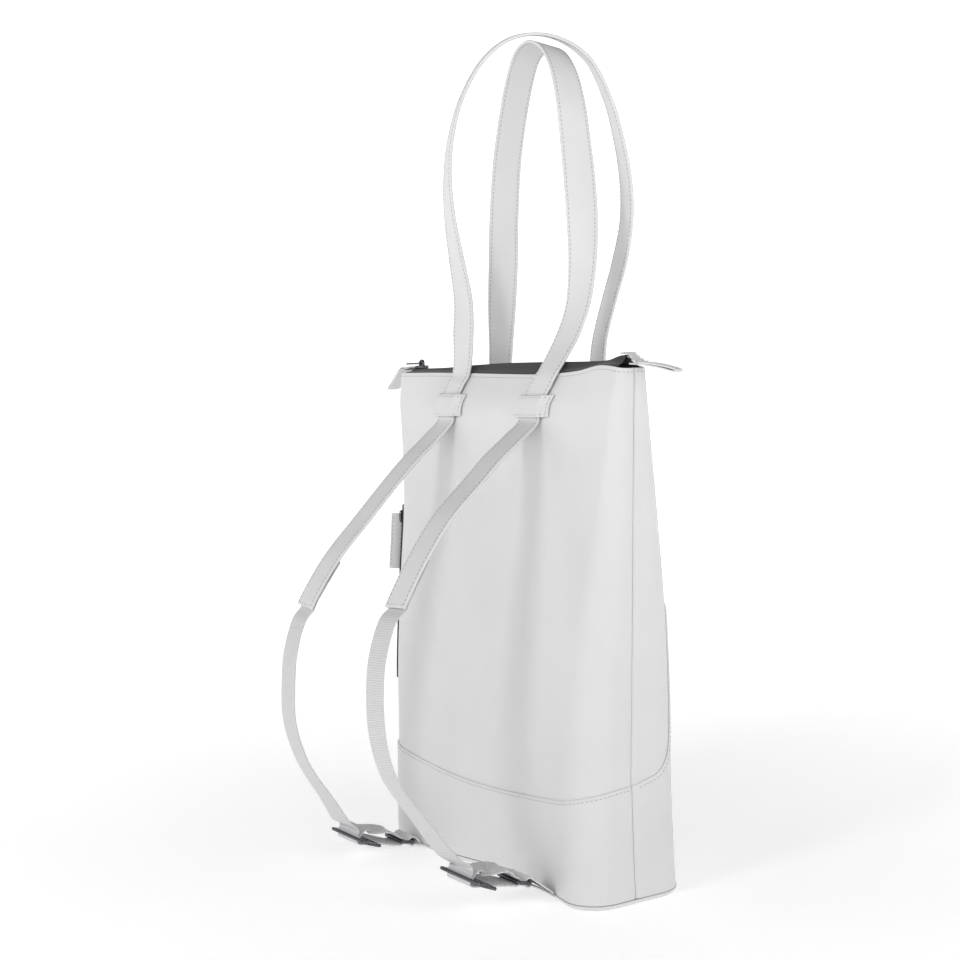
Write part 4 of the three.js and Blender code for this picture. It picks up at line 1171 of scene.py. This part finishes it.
@dataclass
class MouthZip:
    """The zip along the mouth: two tapes with their teeth, and a folded tab at each end."""

    finishes: Finishes
    end: float = HALF_TOP - TAPE_END_INSET
    rim: float = 0.3
    tooth_length: float = 0.9
    tooth_radius: float = 0.75
    tooth_in: float = 0.4
    tooth_drop: float = 0.2
    strip: Strip = Strip(ZIP_TAB_WIDTH, ZIP_TAB_THICKNESS, 0.2, 2.2)

    def half_gap(self, x: np.ndarray) -> np.ndarray:
        """Half the opening between the two tapes."""
        return FIT + (MOUTH_OPENING / 2 - FIT) * np.maximum(1 - (x / self.end) ** 6, 0)

    def profile(self, face: Face, x: np.ndarray, inset: float) -> np.ndarray:
        """Rows of a tape's side: its foot inside the hem, its bend and its standing edge.

        Args:
            face: The half of the bag.
            x: Places across the mouth.
            inset: Distance of this side from the leather's outer face.

        Returns:
            A grid of points.
        """
        hem = face_point(face, x, np.full_like(x, PANEL_HEIGHT), -inset - FIT)
        foot = face_point(face, x, np.full_like(x, PANEL_HEIGHT - TAPE_BELOW), -inset - 2 * FIT)
        stand = MOUTH_WAVE.at("tape", x / HALF_TOP) * TAPE_ABOVE
        edge = face.value * (self.half_gap(x) + WALL + FIT + TAPE_THICKNESS - inset)
        middle, top = hem.copy(), hem.copy()
        middle[:, 1] += 0.6 * (edge - hem[:, 1])
        middle[:, 2] += 0.4 * stand
        top[:, 1] = edge
        top[:, 2] += stand
        return np.stack([along_curve(np.array(rows), 12) for rows in zip(foot, hem, middle, top)])

    def build(self) -> None:
        """Make the tapes, the teeth and the tabs."""
        x = np.linspace(-self.end, self.end, 240)
        for face in Face:
            node = f"zip_tape_{face.name.lower()}"
            outer = self.profile(face, x, WALL + FIT)
            inner = self.profile(face, x, WALL + FIT + TAPE_THICKNESS)
            tape = slab(f"{node}_cloth", outer, inner)
            soften(tape, self.rim)
            dress(tape, self.finishes.tape, "zip_tape", node)
            edge = (outer[4:-4, -1] + inner[4:-4, -1]) / 2
            edge -= np.array([0.0, face.value * self.tooth_in, self.tooth_drop])
            teeth = stitches(f"{node}_teeth", [edge], TOOTH_PITCH, self.tooth_length, self.tooth_radius)
            dress(teeth, self.finishes.teeth, "zip_tape")
        self.tab(Side.LEFT, droop=ZIP_TAB_DROOP, turn=0.0, pinch=0.0)
        self.tab(Side.RIGHT, droop=0.34 * ZIP_TAB_DROOP, turn=ZIP_TAB_TURN, pinch=0.4)

    def tab(self, side: Side, droop: float, turn: float, pinch: float) -> None:
        """Make a leather tab folded round the end of the zip.

        Args:
            side: The end of the mouth.
            droop: How far its tip hangs.
            turn: How far it turns from the line of the zip, in degrees.
            pinch: Share of the width that is gathered in over the zip's end.
        """
        thick = ZIP_TAB_THICKNESS
        layer = thick + FIT
        hem = PANEL_HEIGHT + float(mouth_lift(np.array(side.value * HALF_TOP), np.array(PANEL_HEIGHT)))
        high = max(tape_top(side.value * self.end), hem + 2 * thick + FIT) + 2 * FIT + thick / 2
        seat = min(high - layer, hem + layer + thick)
        over_hem = (TAPE_END_INSET + 2) / ZIP_TAB_LENGTH
        path = (
            (-0.08, high),
            (0.04, high),
            (over_hem, seat + layer + FIT),
            (0.6, seat - 0.42 * droop + layer),
            (0.97, seat - droop + layer / 2),
            (1.0, seat - droop - FIT),
            (0.97, seat - droop - layer / 2),
            (0.6, seat - 0.42 * droop),
            (over_hem, seat),
            (0.1, seat + FIT),
        )
        angle = math.radians(turn)
        stops = []
        for share, z in path:
            along = share * ZIP_TAB_LENGTH
            x = side.value * (self.end + along * math.cos(angle))
            stops.append(Stop(np.array([x, along * math.sin(angle), z]), 90 + side.value * turn))
        route = route_through(stops, 180)
        reach = (np.abs(route.middle[:, 0]) - self.end) / (ZIP_TAB_LENGTH * math.cos(angle))
        narrowing = 1 - ZIP_TAB_TIP / ZIP_TAB_WIDTH
        widths = 1 - narrowing * ease(-0.1, 1.0, reach) - pinch * (1 - ease(0.0, 0.45, reach))
        node = f"zip_tab_{side.word}"
        self.strip.make(node, route, self.finishes.leather, widths)
        rows = self.strip.seams(route, 0.1, 0.08, 0.25)
        dress(stitches(f"{node}_stitches", rows), self.finishes.thread, "leather")


@dataclass
class CornerZip:
    """The zip along the left back corner, with its leather pull."""

    finishes: Finishes
    swivel: float = 0.5
    stand_off: float = 2.0
    rim: float = 0.3
    tooth_length: float = 0.9
    tooth_radius: float = 0.8
    strip: Strip = Strip(PULL_WIDTH, PULL_THICKNESS, 0.2, 1.8)

    def point(self, z: Places, out: float, shift: Places = 0.0) -> np.ndarray:
        """A point near the corner line at a height and a distance out."""
        return skin(Face.BACK, SIDE_ZIP_PLACE + np.asarray(shift, float), z, -out)

    def build(self) -> None:
        """Make the tape, the teeth and the pull."""
        slope = self.point(SIDE_ZIP_TOP, 0, 0.01) - self.point(SIDE_ZIP_TOP, 0, -0.01)
        reach = 0.01 * SIDE_ZIP_WIDTH / float(np.linalg.norm(slope))
        heights = np.linspace(SIDE_ZIP_TOP - SIDE_ZIP_LENGTH, SIDE_ZIP_TOP, 80)
        shifts = np.linspace(-reach, reach, 9)[None, :]
        surface = 2 * FIT + TAPE_THICKNESS
        outer = self.point(heights[:, None], surface, shifts)
        inner = self.point(heights[:, None], 2 * FIT, shifts)
        tape = slab("side_zip_cloth", outer, inner)
        soften(tape, self.rim)
        dress(tape, self.finishes.tape, "zip_tape", "side_zip")
        line = self.point(heights, surface + 0.1)
        teeth = stitches("side_zip_teeth", [line], TOOTH_PITCH, self.tooth_length, self.tooth_radius)
        dress(teeth, self.finishes.teeth, "zip_tape")
        self.pull(surface + FIT + SIDE_SLIDER_THICKNESS, self.swivel * heading(slope))

    def pull(self, under: float, turn: float) -> None:
        """Make the leather pull that hangs from the slider.

        Args:
            under: Distance of the slider's outer face from the bag's skin.
            turn: Turn of the pull's width, in degrees.
        """
        out = under + 2 * FIT + PULL_THICKNESS / 2 + self.stand_off
        top = SIDE_ZIP_TOP - 0.75 * SIDE_SLIDER_LENGTH
        shares = (0.0, 1 / 3, 2 / 3, 1.0)
        route = route_through([Stop(self.point(top - s * PULL_LENGTH, out), turn) for s in shares], 60)
        self.strip.make("side_zip_pull", route, self.finishes.leather)
        rows = self.strip.seams(route, 0.1, 0.05, 0.95)
        dress(stitches("side_zip_pull_stitches", rows), self.finishes.thread, "leather")


def handle_stops(table: Table) -> list[Stop]:
    """Stops of a handle."""
    stops = []
    for across, out, rise, turn, tilt in table.rows:
        at = np.array([across * STRAP_OFFSET, out * HALF_DEPTH, PANEL_HEIGHT + rise * HANDLE_RISE])
        stops.append(Stop(at, turn, tilt))
    return stops


def shoulder_stops(table: Table, side: Side) -> list[Stop]:
    """Stops of a shoulder strap or webbing below its keeper."""
    stops = []
    for height, bow, turn in table.rows:
        x = side.value * (RING_OFFSET + (STRAP_OFFSET - RING_OFFSET) * height)
        stops.append(Stop(np.array([x, -bow * STRAP_BOW, height * KEEPER_HEIGHT]), turn))
    return stops


@dataclass
class Strap:
    """One strap: the shoulder part, the handle over the mouth and the seat on the front."""

    finishes: Finishes
    side: Side
    handle: Table
    shoulder: Table
    lean: float
    strip: Strip = Strip(STRAP_WIDTH, STRAP_THICKNESS, 0.35, STITCH_INSET)
    anchor_share: float = 0.96
    cross_rows: tuple[int, ...] = (5, -6, -70)
    keeper_rim: float = 0.6
    keeper_step: tuple[float, float] = (1.0, 6.0)

    def seat(self, face: Face, x: float, z: float, more: float) -> Stop:
        """A stop where the strap lies on the bag, its width level with the face under it."""
        reach = STRAP_WIDTH / 2
        slope = face_point(face, x + reach, z, 0) - face_point(face, x - reach, z, 0)
        return Stop(face_point(face, x, z, 2 * FIT + STRAP_THICKNESS / 2 + more), heading(slope))

    def route(self) -> Route:
        """The strap's rows from its lower end to its seat on the front."""
        offset = self.side.value * STRAP_OFFSET
        stops = shoulder_stops(self.shoulder, self.side)[::-1]
        for share in (-0.7, -0.4, 0.1, 0.6, 1.0, 1.45):
            x = offset + max(share, 0) * self.lean
            more = FIT * (float(ease(-0.5, -0.7, share)) + 3 * float(ease(0.5, 1, share)) + 0.3)
            stops.append(self.seat(Face.BACK, x, KEEPER_HEIGHT + share * KEEPER_DEPTH, more))
        stops.extend(handle_stops(self.handle))
        for share in (0.0, 0.25, 0.5, 0.75, 1.0):
            more = 2 * FIT + 3 * STRAP_THICKNESS * max(0.25 - share, 0)
            z = ANCHOR_HEIGHT - share * ANCHOR_LENGTH
            stops.append(self.seat(Face.FRONT, -offset * self.anchor_share, z, more))
        return route_through(stops, 560)

    def build(self) -> None:
        """Make the strap, its stitching and its keeper."""
        route = self.route()
        node = f"strap_{self.side.word}"
        self.strip.make(node, route, self.finishes.leather)
        lines = self.strip.seams(route, self.strip.groove - 0.05, 0.006, 0.996)
        reach = STRAP_WIDTH / 2 - STITCH_INSET
        span = np.linspace(-reach, reach, 20)[:, None]
        for row in self.cross_rows:
            middle, across, face = route.middle[row], route.across[row], route.face[row]
            lines.extend(middle + span * across + s * (STRAP_THICKNESS / 2) * face for s in (-1, 1))
        dress(stitches(f"{node}_stitches", lines), self.finishes.thread, "leather")
        self.keeper()

    def keeper(self) -> None:
        """Make the leather loop that holds the strap against the back."""
        reach = STRAP_WIDTH / 2
        x = np.linspace(-KEEPER_WIDTH / 2, KEEPER_WIDTH / 2, 90)[None, :]
        share = np.linspace(-0.5, 0.5, 20)[:, None]
        start, end = self.keeper_step
        rise = 1 - ease(reach + start, reach + end, np.abs(x))
        flare = FIT * (2 + ease(0, 0.5, -share))
        across = self.side.value * STRAP_OFFSET + np.maximum(share, 0) * self.lean + x
        z = np.broadcast_to(KEEPER_HEIGHT + share * KEEPER_DEPTH, across.shape)
        proud = 2 * FIT + (STRAP_THICKNESS + 4 * FIT + flare) * rise
        inner = face_point(Face.BACK, across, z, proud)
        outer = face_point(Face.BACK, across, z, proud + KEEPER_THICKNESS)
        node = f"keeper_{self.side.word}"
        piece = slab(f"{node}_leather", outer, inner)
        soften(piece, self.keeper_rim)
        dress(piece, self.finishes.leather, "leather", node)
        lines = [outer[2:-2, 5], outer[2:-2, -6], outer[2, 3:-3], outer[-3, 3:-3]]
        dress(stitches(f"{node}_stitches", lines), self.finishes.thread, "leather")


@dataclass(frozen=True)
class Axes:
    """Where a piece of hardware lies: across its width, out from the bag and up."""

    origin: np.ndarray
    turn: float
    tilt: float
    pitch: float

    def directions(self) -> tuple[np.ndarray, np.ndarray, np.ndarray]:
        """Directions across, out and up."""
        a, b, c = (math.radians(v) for v in (self.turn, self.tilt, self.pitch))
        across = np.array([math.cos(a) * math.cos(b), math.sin(a) * math.cos(b), math.sin(b)])
        out = np.array([math.sin(a) * math.cos(c), -math.cos(a) * math.cos(c), math.sin(c)])
        out = unit(out - np.dot(out, across) * across)
        up = -np.cross(out, across)
        return across, out, up * np.sign(up[2])

    def stop(self, out_by: float, up_by: float, shift: float = 0.0) -> Stop:
        """A stop at a distance out, up and across from the middle."""
        across, out, up = self.directions()
        return Stop(self.origin + shift * across + out_by * out + up_by * up, self.turn, self.tilt)


def rounded_loop(length: float, width: float, radius: float) -> np.ndarray:
    """Points round a rectangle with round corners, as distances along its length and width."""
    points = []
    for sx, sy, start in ((1, -1, -90), (1, 1, 0), (-1, 1, 90), (-1, -1, 180)):
        for angle in np.radians(np.linspace(start, start + 90, 9)):
            x = sx * (length / 2 - radius) + radius * math.cos(angle)
            points.append((x, sy * (width / 2 - radius) + radius * math.sin(angle)))
    return np.array(points)


def cast_section(width: float, height: float, squareness: float, count: int) -> np.ndarray:
    """The cut across a cast bar: a circle that is pressed towards a rectangle."""
    angles = np.linspace(0, 2 * math.pi, count, endpoint=False)
    pair = np.stack([np.cos(angles), np.sin(angles)], axis=1)
    return np.sign(pair) * np.abs(pair) ** (2 / squareness) * np.array([width, height]) / 2


@dataclass(frozen=True)
class Seat:
    """Where a ring or a slide lies: shares of its reach out and up, and its pitch in degrees."""

    out: float
    up: float
    pitch: float


@dataclass
class Tail:
    """The lower end of one strap: base tab, ring, slide buckle and the webbing through them."""

    finishes: Finishes
    side: Side
    shoulder: Table
    table: Table
    ring: Seat
    slide: Seat
    puff: float = 7.0
    drift: float = -5.0
    rock: float = 12.0
    ring_corner: float = 2.6
    buckle_corner: float = 3.0
    strip: Strip = Strip(TAB_WIDTH, TAB_THICKNESS, 0.2, 2.4)
    weave: Strip = Strip(WEBBING_WIDTH, WEBBING_THICKNESS, 0.0, 2.0)

    def axes(self) -> tuple[Axes, Axes]:
        """Axes of the ring and of the buckle."""
        x = self.side.value * RING_OFFSET
        ring_at = np.array([x, -HALF_DEPTH - self.ring.out * RING_REACH, self.ring.up * RING_REACH])
        slide_at = np.array([x, -HALF_DEPTH - self.slide.out * BUCKLE_REACH, self.slide.up * BUCKLE_REACH])
        ring = Axes(ring_at, BUCKLE_TURN / 4, BUCKLE_TILT / 4, self.ring.pitch)
        return ring, Axes(slide_at, BUCKLE_TURN, BUCKLE_TILT, self.slide.pitch + self.rock)

    def bar(self, piece: str, axes: Axes, outline: np.ndarray, section: np.ndarray, *nodes: str) -> None:
        """Carry a bar's section round an outline that lies flat in the axes, closed if it is a loop.

        Args:
            piece: The piece's name.
            axes: Where the hardware lies.
            outline: Distances across and out of the bar's middle line.
            section: The cut across the bar.
            nodes: The plain solids that the piece replaces.
        """
        across, out, up = axes.directions()
        closed = bool(np.ptp(outline[:, 1]) > 0)
        middle = axes.origin + outline[:, 0:1] * across + outline[:, 1:2] * out
        before, after = np.roll(middle, 1, axis=0), np.roll(middle, -1, axis=0)
        if not closed:
            before[0], after[-1] = middle[0], middle[-1]
        sideways = np.cross(unit(after - before), up)
        route = Route(middle, sideways, np.broadcast_to(up, middle.shape))
        dress(sweep(piece, route, section, closed), self.finishes.metal, "hardware", *nodes)

    def build(self) -> None:
        """Make the hardware, the tab and the webbing."""
        ring, buckle = self.axes()
        word = self.side.word
        loop = rounded_loop(RING_LENGTH - WIRE, RING_WIDTH - WIRE, self.ring_corner)
        self.bar(f"ring_{word}_wire", ring, loop, cast_section(WIRE, WIRE, 2.0, 16), f"ring_{word}")
        loop = rounded_loop(BUCKLE_LENGTH - BUCKLE_BAR, BUCKLE_WIDTH - BUCKLE_BAR, self.buckle_corner)
        cut = cast_section(BUCKLE_BAR, BUCKLE_THICKNESS, 3.2, 24)
        self.bar(f"buckle_{word}_frame", buckle, loop, cut, f"buckle_{word}")
        reach = BUCKLE_LENGTH / 2 - BUCKLE_BAR
        straight = np.stack([np.linspace(-reach, reach, 12), np.zeros(12)], axis=1)
        self.bar(f"buckle_{word}_bar", buckle, straight, cut)
        self.tab(ring)
        self.web(ring, buckle)

    def tab(self, axes: Axes) -> None:
        """Make the leather tab from the base seam round the ring's inner bar."""
        x = self.side.value * RING_OFFSET

        def edge(shift: float) -> np.ndarray:
            """A point just outside the base seam."""
            return face_point(Face.BACK, x + shift, SEAM_HEIGHT + FIT, WALL + 9 * FIT)

        turned = heading(edge(TAB_WIDTH / 2) - edge(-TAB_WIDTH / 2))
        layer = FIT + TAB_THICKNESS / 2
        turn = WIRE / 2 + layer + 4 * FIT
        slant = 0.72 * turn
        rise = np.array([0.0, 0.0, layer])
        fold = (
            (-3.5, 0.75 * turn),
            (0.0, turn),
            (slant, slant),
            (turn, 0.0),
            (slant, -slant),
            (0.0, -turn),
            (-3.5, -0.75 * turn),
        )
        stops = [Stop(edge(0) + rise, turned)]
        stops.extend(axes.stop(out - RING_BAR, up) for out, up in fold)
        stops.append(Stop(edge(0) - rise, turned))
        route = route_through(stops, 120)
        node = f"base_tab_{self.side.word}"
        self.strip.make(node, route, self.finishes.leather)
        rows = self.strip.seams(route, 0.1, 0.03, 0.3)
        dress(stitches(f"{node}_stitches", rows), self.finishes.thread, "leather")

    def web(self, ring: Axes, buckle: Axes) -> None:
        """Make the webbing from under the strap through the buckle, round the ring and back.

        Args:
            ring: Where the ring lies.
            buckle: Where the slide buckle lies.
        """
        end = shoulder_stops(self.shoulder, self.side)[-3:]
        along = unit(end[2].at - end[0].at)
        inward = np.array([0.0, -along[2], along[1]])
        half = WEBBING_THICKNESS / 2
        depth = STRAP_THICKNESS / 2 + 2 * FIT + half
        high = BUCKLE_THICKNESS / 2 + FIT + half
        outer = SLOT_WIDTH + BUCKLE_BAR
        slot = outer / 2
        turn = WIRE / 2 + 2 * FIT + half
        slant = 0.72 * turn
        down = (
            (slot + 3.4, 7.5),
            (slot + 1.6, 2.6),
            (slot + 1.2, -0.6),
            (slot - 0.6, -high - 1.4),
            (0.0, -high - 2.2),
            (-slot, -high - 1.6),
            (-outer, -high - 0.6),
            (-outer - 6, -0.9),
        )
        loop = (
            (-6.0, -turn - 0.3),
            (0.0, -turn),
            (slant, -slant),
            (turn, 0.0),
            (slant, slant),
            (0.0, turn),
            (-3.5, turn + 1.2),
            (-9.0, turn + 4.2),
        )
        dome = (
            (-outer - 2, high + self.puff * 0.85),
            (-slot, high + self.puff),
            (0.0, high + self.puff * 0.8),
            (slot - 2.6, high + self.puff * 0.35),
            (slot - 1.3, 1.6),
            (slot - 1.3, -1.4),
        )
        stops = [Stop(s.at + depth * inward, s.turn) for s in end]
        stops.extend(shoulder_stops(self.table, self.side))
        stops.extend(buckle.stop(out, up, self.drift) for out, up in down)
        stops.extend(ring.stop(RING_BAR - out, up) for out, up in loop)
        stops.extend(buckle.stop(out, up, self.drift) for out, up in dome)
        route = route_through(stops, 16 * (len(stops) - 1))
        node = f"webbing_{self.side.word}"
        dress(sweep(f"{node}_weave", route, self.weave.section()), self.finishes.webbing, "webbing", node)


@dataclass
class Hardware:
    """The small cast parts that keep their own solids, in a better finish."""

    finishes: Finishes
    nodes: tuple[str, ...] = ("zip_slider", "zip_puller", "side_zip_slider")

    def build(self) -> None:
        """Finish the sliders and the puller."""
        for name in self.nodes:
            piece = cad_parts[name]
            piece.data.materials.clear()
            piece.data.materials.append(self.finishes.metal)
            LOG.info("finished %s", name)


@dataclass
class Studio:
    """The pale ground, the lights and the camera."""

    finishes: Finishes
    azimuth: float = 56.7
    pitch: float = 3.77
    roll: float = -1.68
    focal_px: float = 1659.0
    image_px: float = 960.0
    sensor_mm: float = 36.0
    stand: tuple[float, float, float] = (1239.0, -852.0, 451.0)
    room: float = 0.12
    ground_reach: float = 9000.0
    ground_drop: float = 0.4
    flat_reach: float = 5000.0
    bend: float = 4000.0
    thickness: float = 4.0
    aim: tuple[float, float, float] = (0.0, 0.0, 300.0)
    reach_m: float = 100.0

    def ground(self) -> None:
        """Make the sheet of paper: flat under the bag and curved up far behind it."""
        flat = np.linspace(-self.ground_reach, self.ground_reach, 40)
        grid = np.stack(np.meshgrid(flat, flat, indexing="xy"), axis=-1)
        points = np.concatenate([grid, np.full((*grid.shape[:2], 1), -self.ground_drop)], axis=-1)
        reach = np.linalg.norm(grid, axis=-1)
        points[..., 2] += np.maximum(reach - self.flat_reach, 0) ** 2 / self.bend
        sheet = slab("paper_ground", points, points - np.array([0.0, 0.0, self.thickness]))
        sheet.data.materials.append(self.finishes.paper)

    def light(self, name: str, at: tuple[float, float, float], size: float, power: float) -> None:
        """Hang a square soft light that faces the bag.

        Args:
            name: The light's name.
            at: Its place in millimetres.
            size: Its side in metres.
            power: Its power in watts.
        """
        data = bpy.data.lights.new(name, "AREA")
        data.size = size
        data.energy = power
        lamp = bpy.data.objects.new(name, data)
        lamp.location = Vector(at) * MM
        aim = Vector(self.aim) * MM - lamp.location
        lamp.rotation_euler = aim.to_track_quat("-Z", "Y").to_euler()
        bpy.context.scene.collection.objects.link(lamp)

    def world(self) -> None:
        """Set the even light of a white room."""
        world = bpy.data.worlds.new("white room")
        world.use_nodes = True
        tree = world.node_tree
        tree.nodes.clear()
        sky = add_node(tree, "Background", {"Color": (1.0, 1.0, 1.0, 1.0), "Strength": self.room})
        add_node(tree, "OutputWorld", None, {"Surface": sky.outputs["Background"]})
        bpy.context.scene.world = world

    def camera(self) -> None:
        """Set the camera where the photographer stood."""
        a, e, r = (math.radians(v) for v in (self.azimuth, self.pitch, self.roll))
        forward = Vector((-math.sin(a) * math.cos(e), math.cos(a) * math.cos(e), -math.sin(e)))
        level = Vector((math.cos(a), math.sin(a), 0.0))
        upright = level.cross(forward)
        right = math.cos(r) * level + math.sin(r) * upright
        up = -math.sin(r) * level + math.cos(r) * upright
        data = bpy.data.cameras.new("camera")
        data.sensor_width = self.sensor_mm
        data.lens = self.focal_px / self.image_px * self.sensor_mm
        data.clip_end = self.reach_m
        camera = bpy.data.objects.new("camera", data)
        turn = Matrix((right, up, -forward)).transposed().to_4x4()
        camera.matrix_world = Matrix.Translation(Vector(self.stand) * MM) @ turn
        bpy.context.scene.collection.objects.link(camera)
        bpy.context.scene.camera = camera

    def build(self) -> None:
        """Set up everything round the bag."""
        self.camera()
        self.world()
        self.ground()
        self.light("key", (500.0, -2700.0, 1600.0), 0.7, 19.0)
        self.light("fill", (2900.0, 200.0, 1900.0), 1.6, 19.0)
        bpy.context.scene.view_settings.view_transform = "Standard"


def main() -> None:
    """Build the bag and its studio."""
    logging.basicConfig(level=logging.INFO, format="%(message)s")
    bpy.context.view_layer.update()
    finishes = Finishes()
    Studio(finishes).build()
    BagBody(finishes).build()
    MouthZip(finishes).build()
    CornerZip(finishes).build()
    Strap(finishes, Side.LEFT, LEFT_HANDLE, LEFT_SHOULDER, lean=6.0).build()
    Strap(finishes, Side.RIGHT, RIGHT_HANDLE, RIGHT_SHOULDER, lean=8.0).build()
    ring, slide = Seat(out=0.77, up=0.42, pitch=10.0), Seat(out=0.93, up=0.28, pitch=9.0)
    Tail(finishes, Side.LEFT, LEFT_SHOULDER, LEFT_WEBBING, ring, slide).build()
    ring, slide = Seat(out=1.27, up=1.02, pitch=14.0), Seat(out=1.09, up=0.48, pitch=12.0)
    Tail(finishes, Side.RIGHT, RIGHT_SHOULDER, RIGHT_WEBBING, ring, slide).build()
    Hardware(finishes).build()


if __name__ == "__main__":
    main()
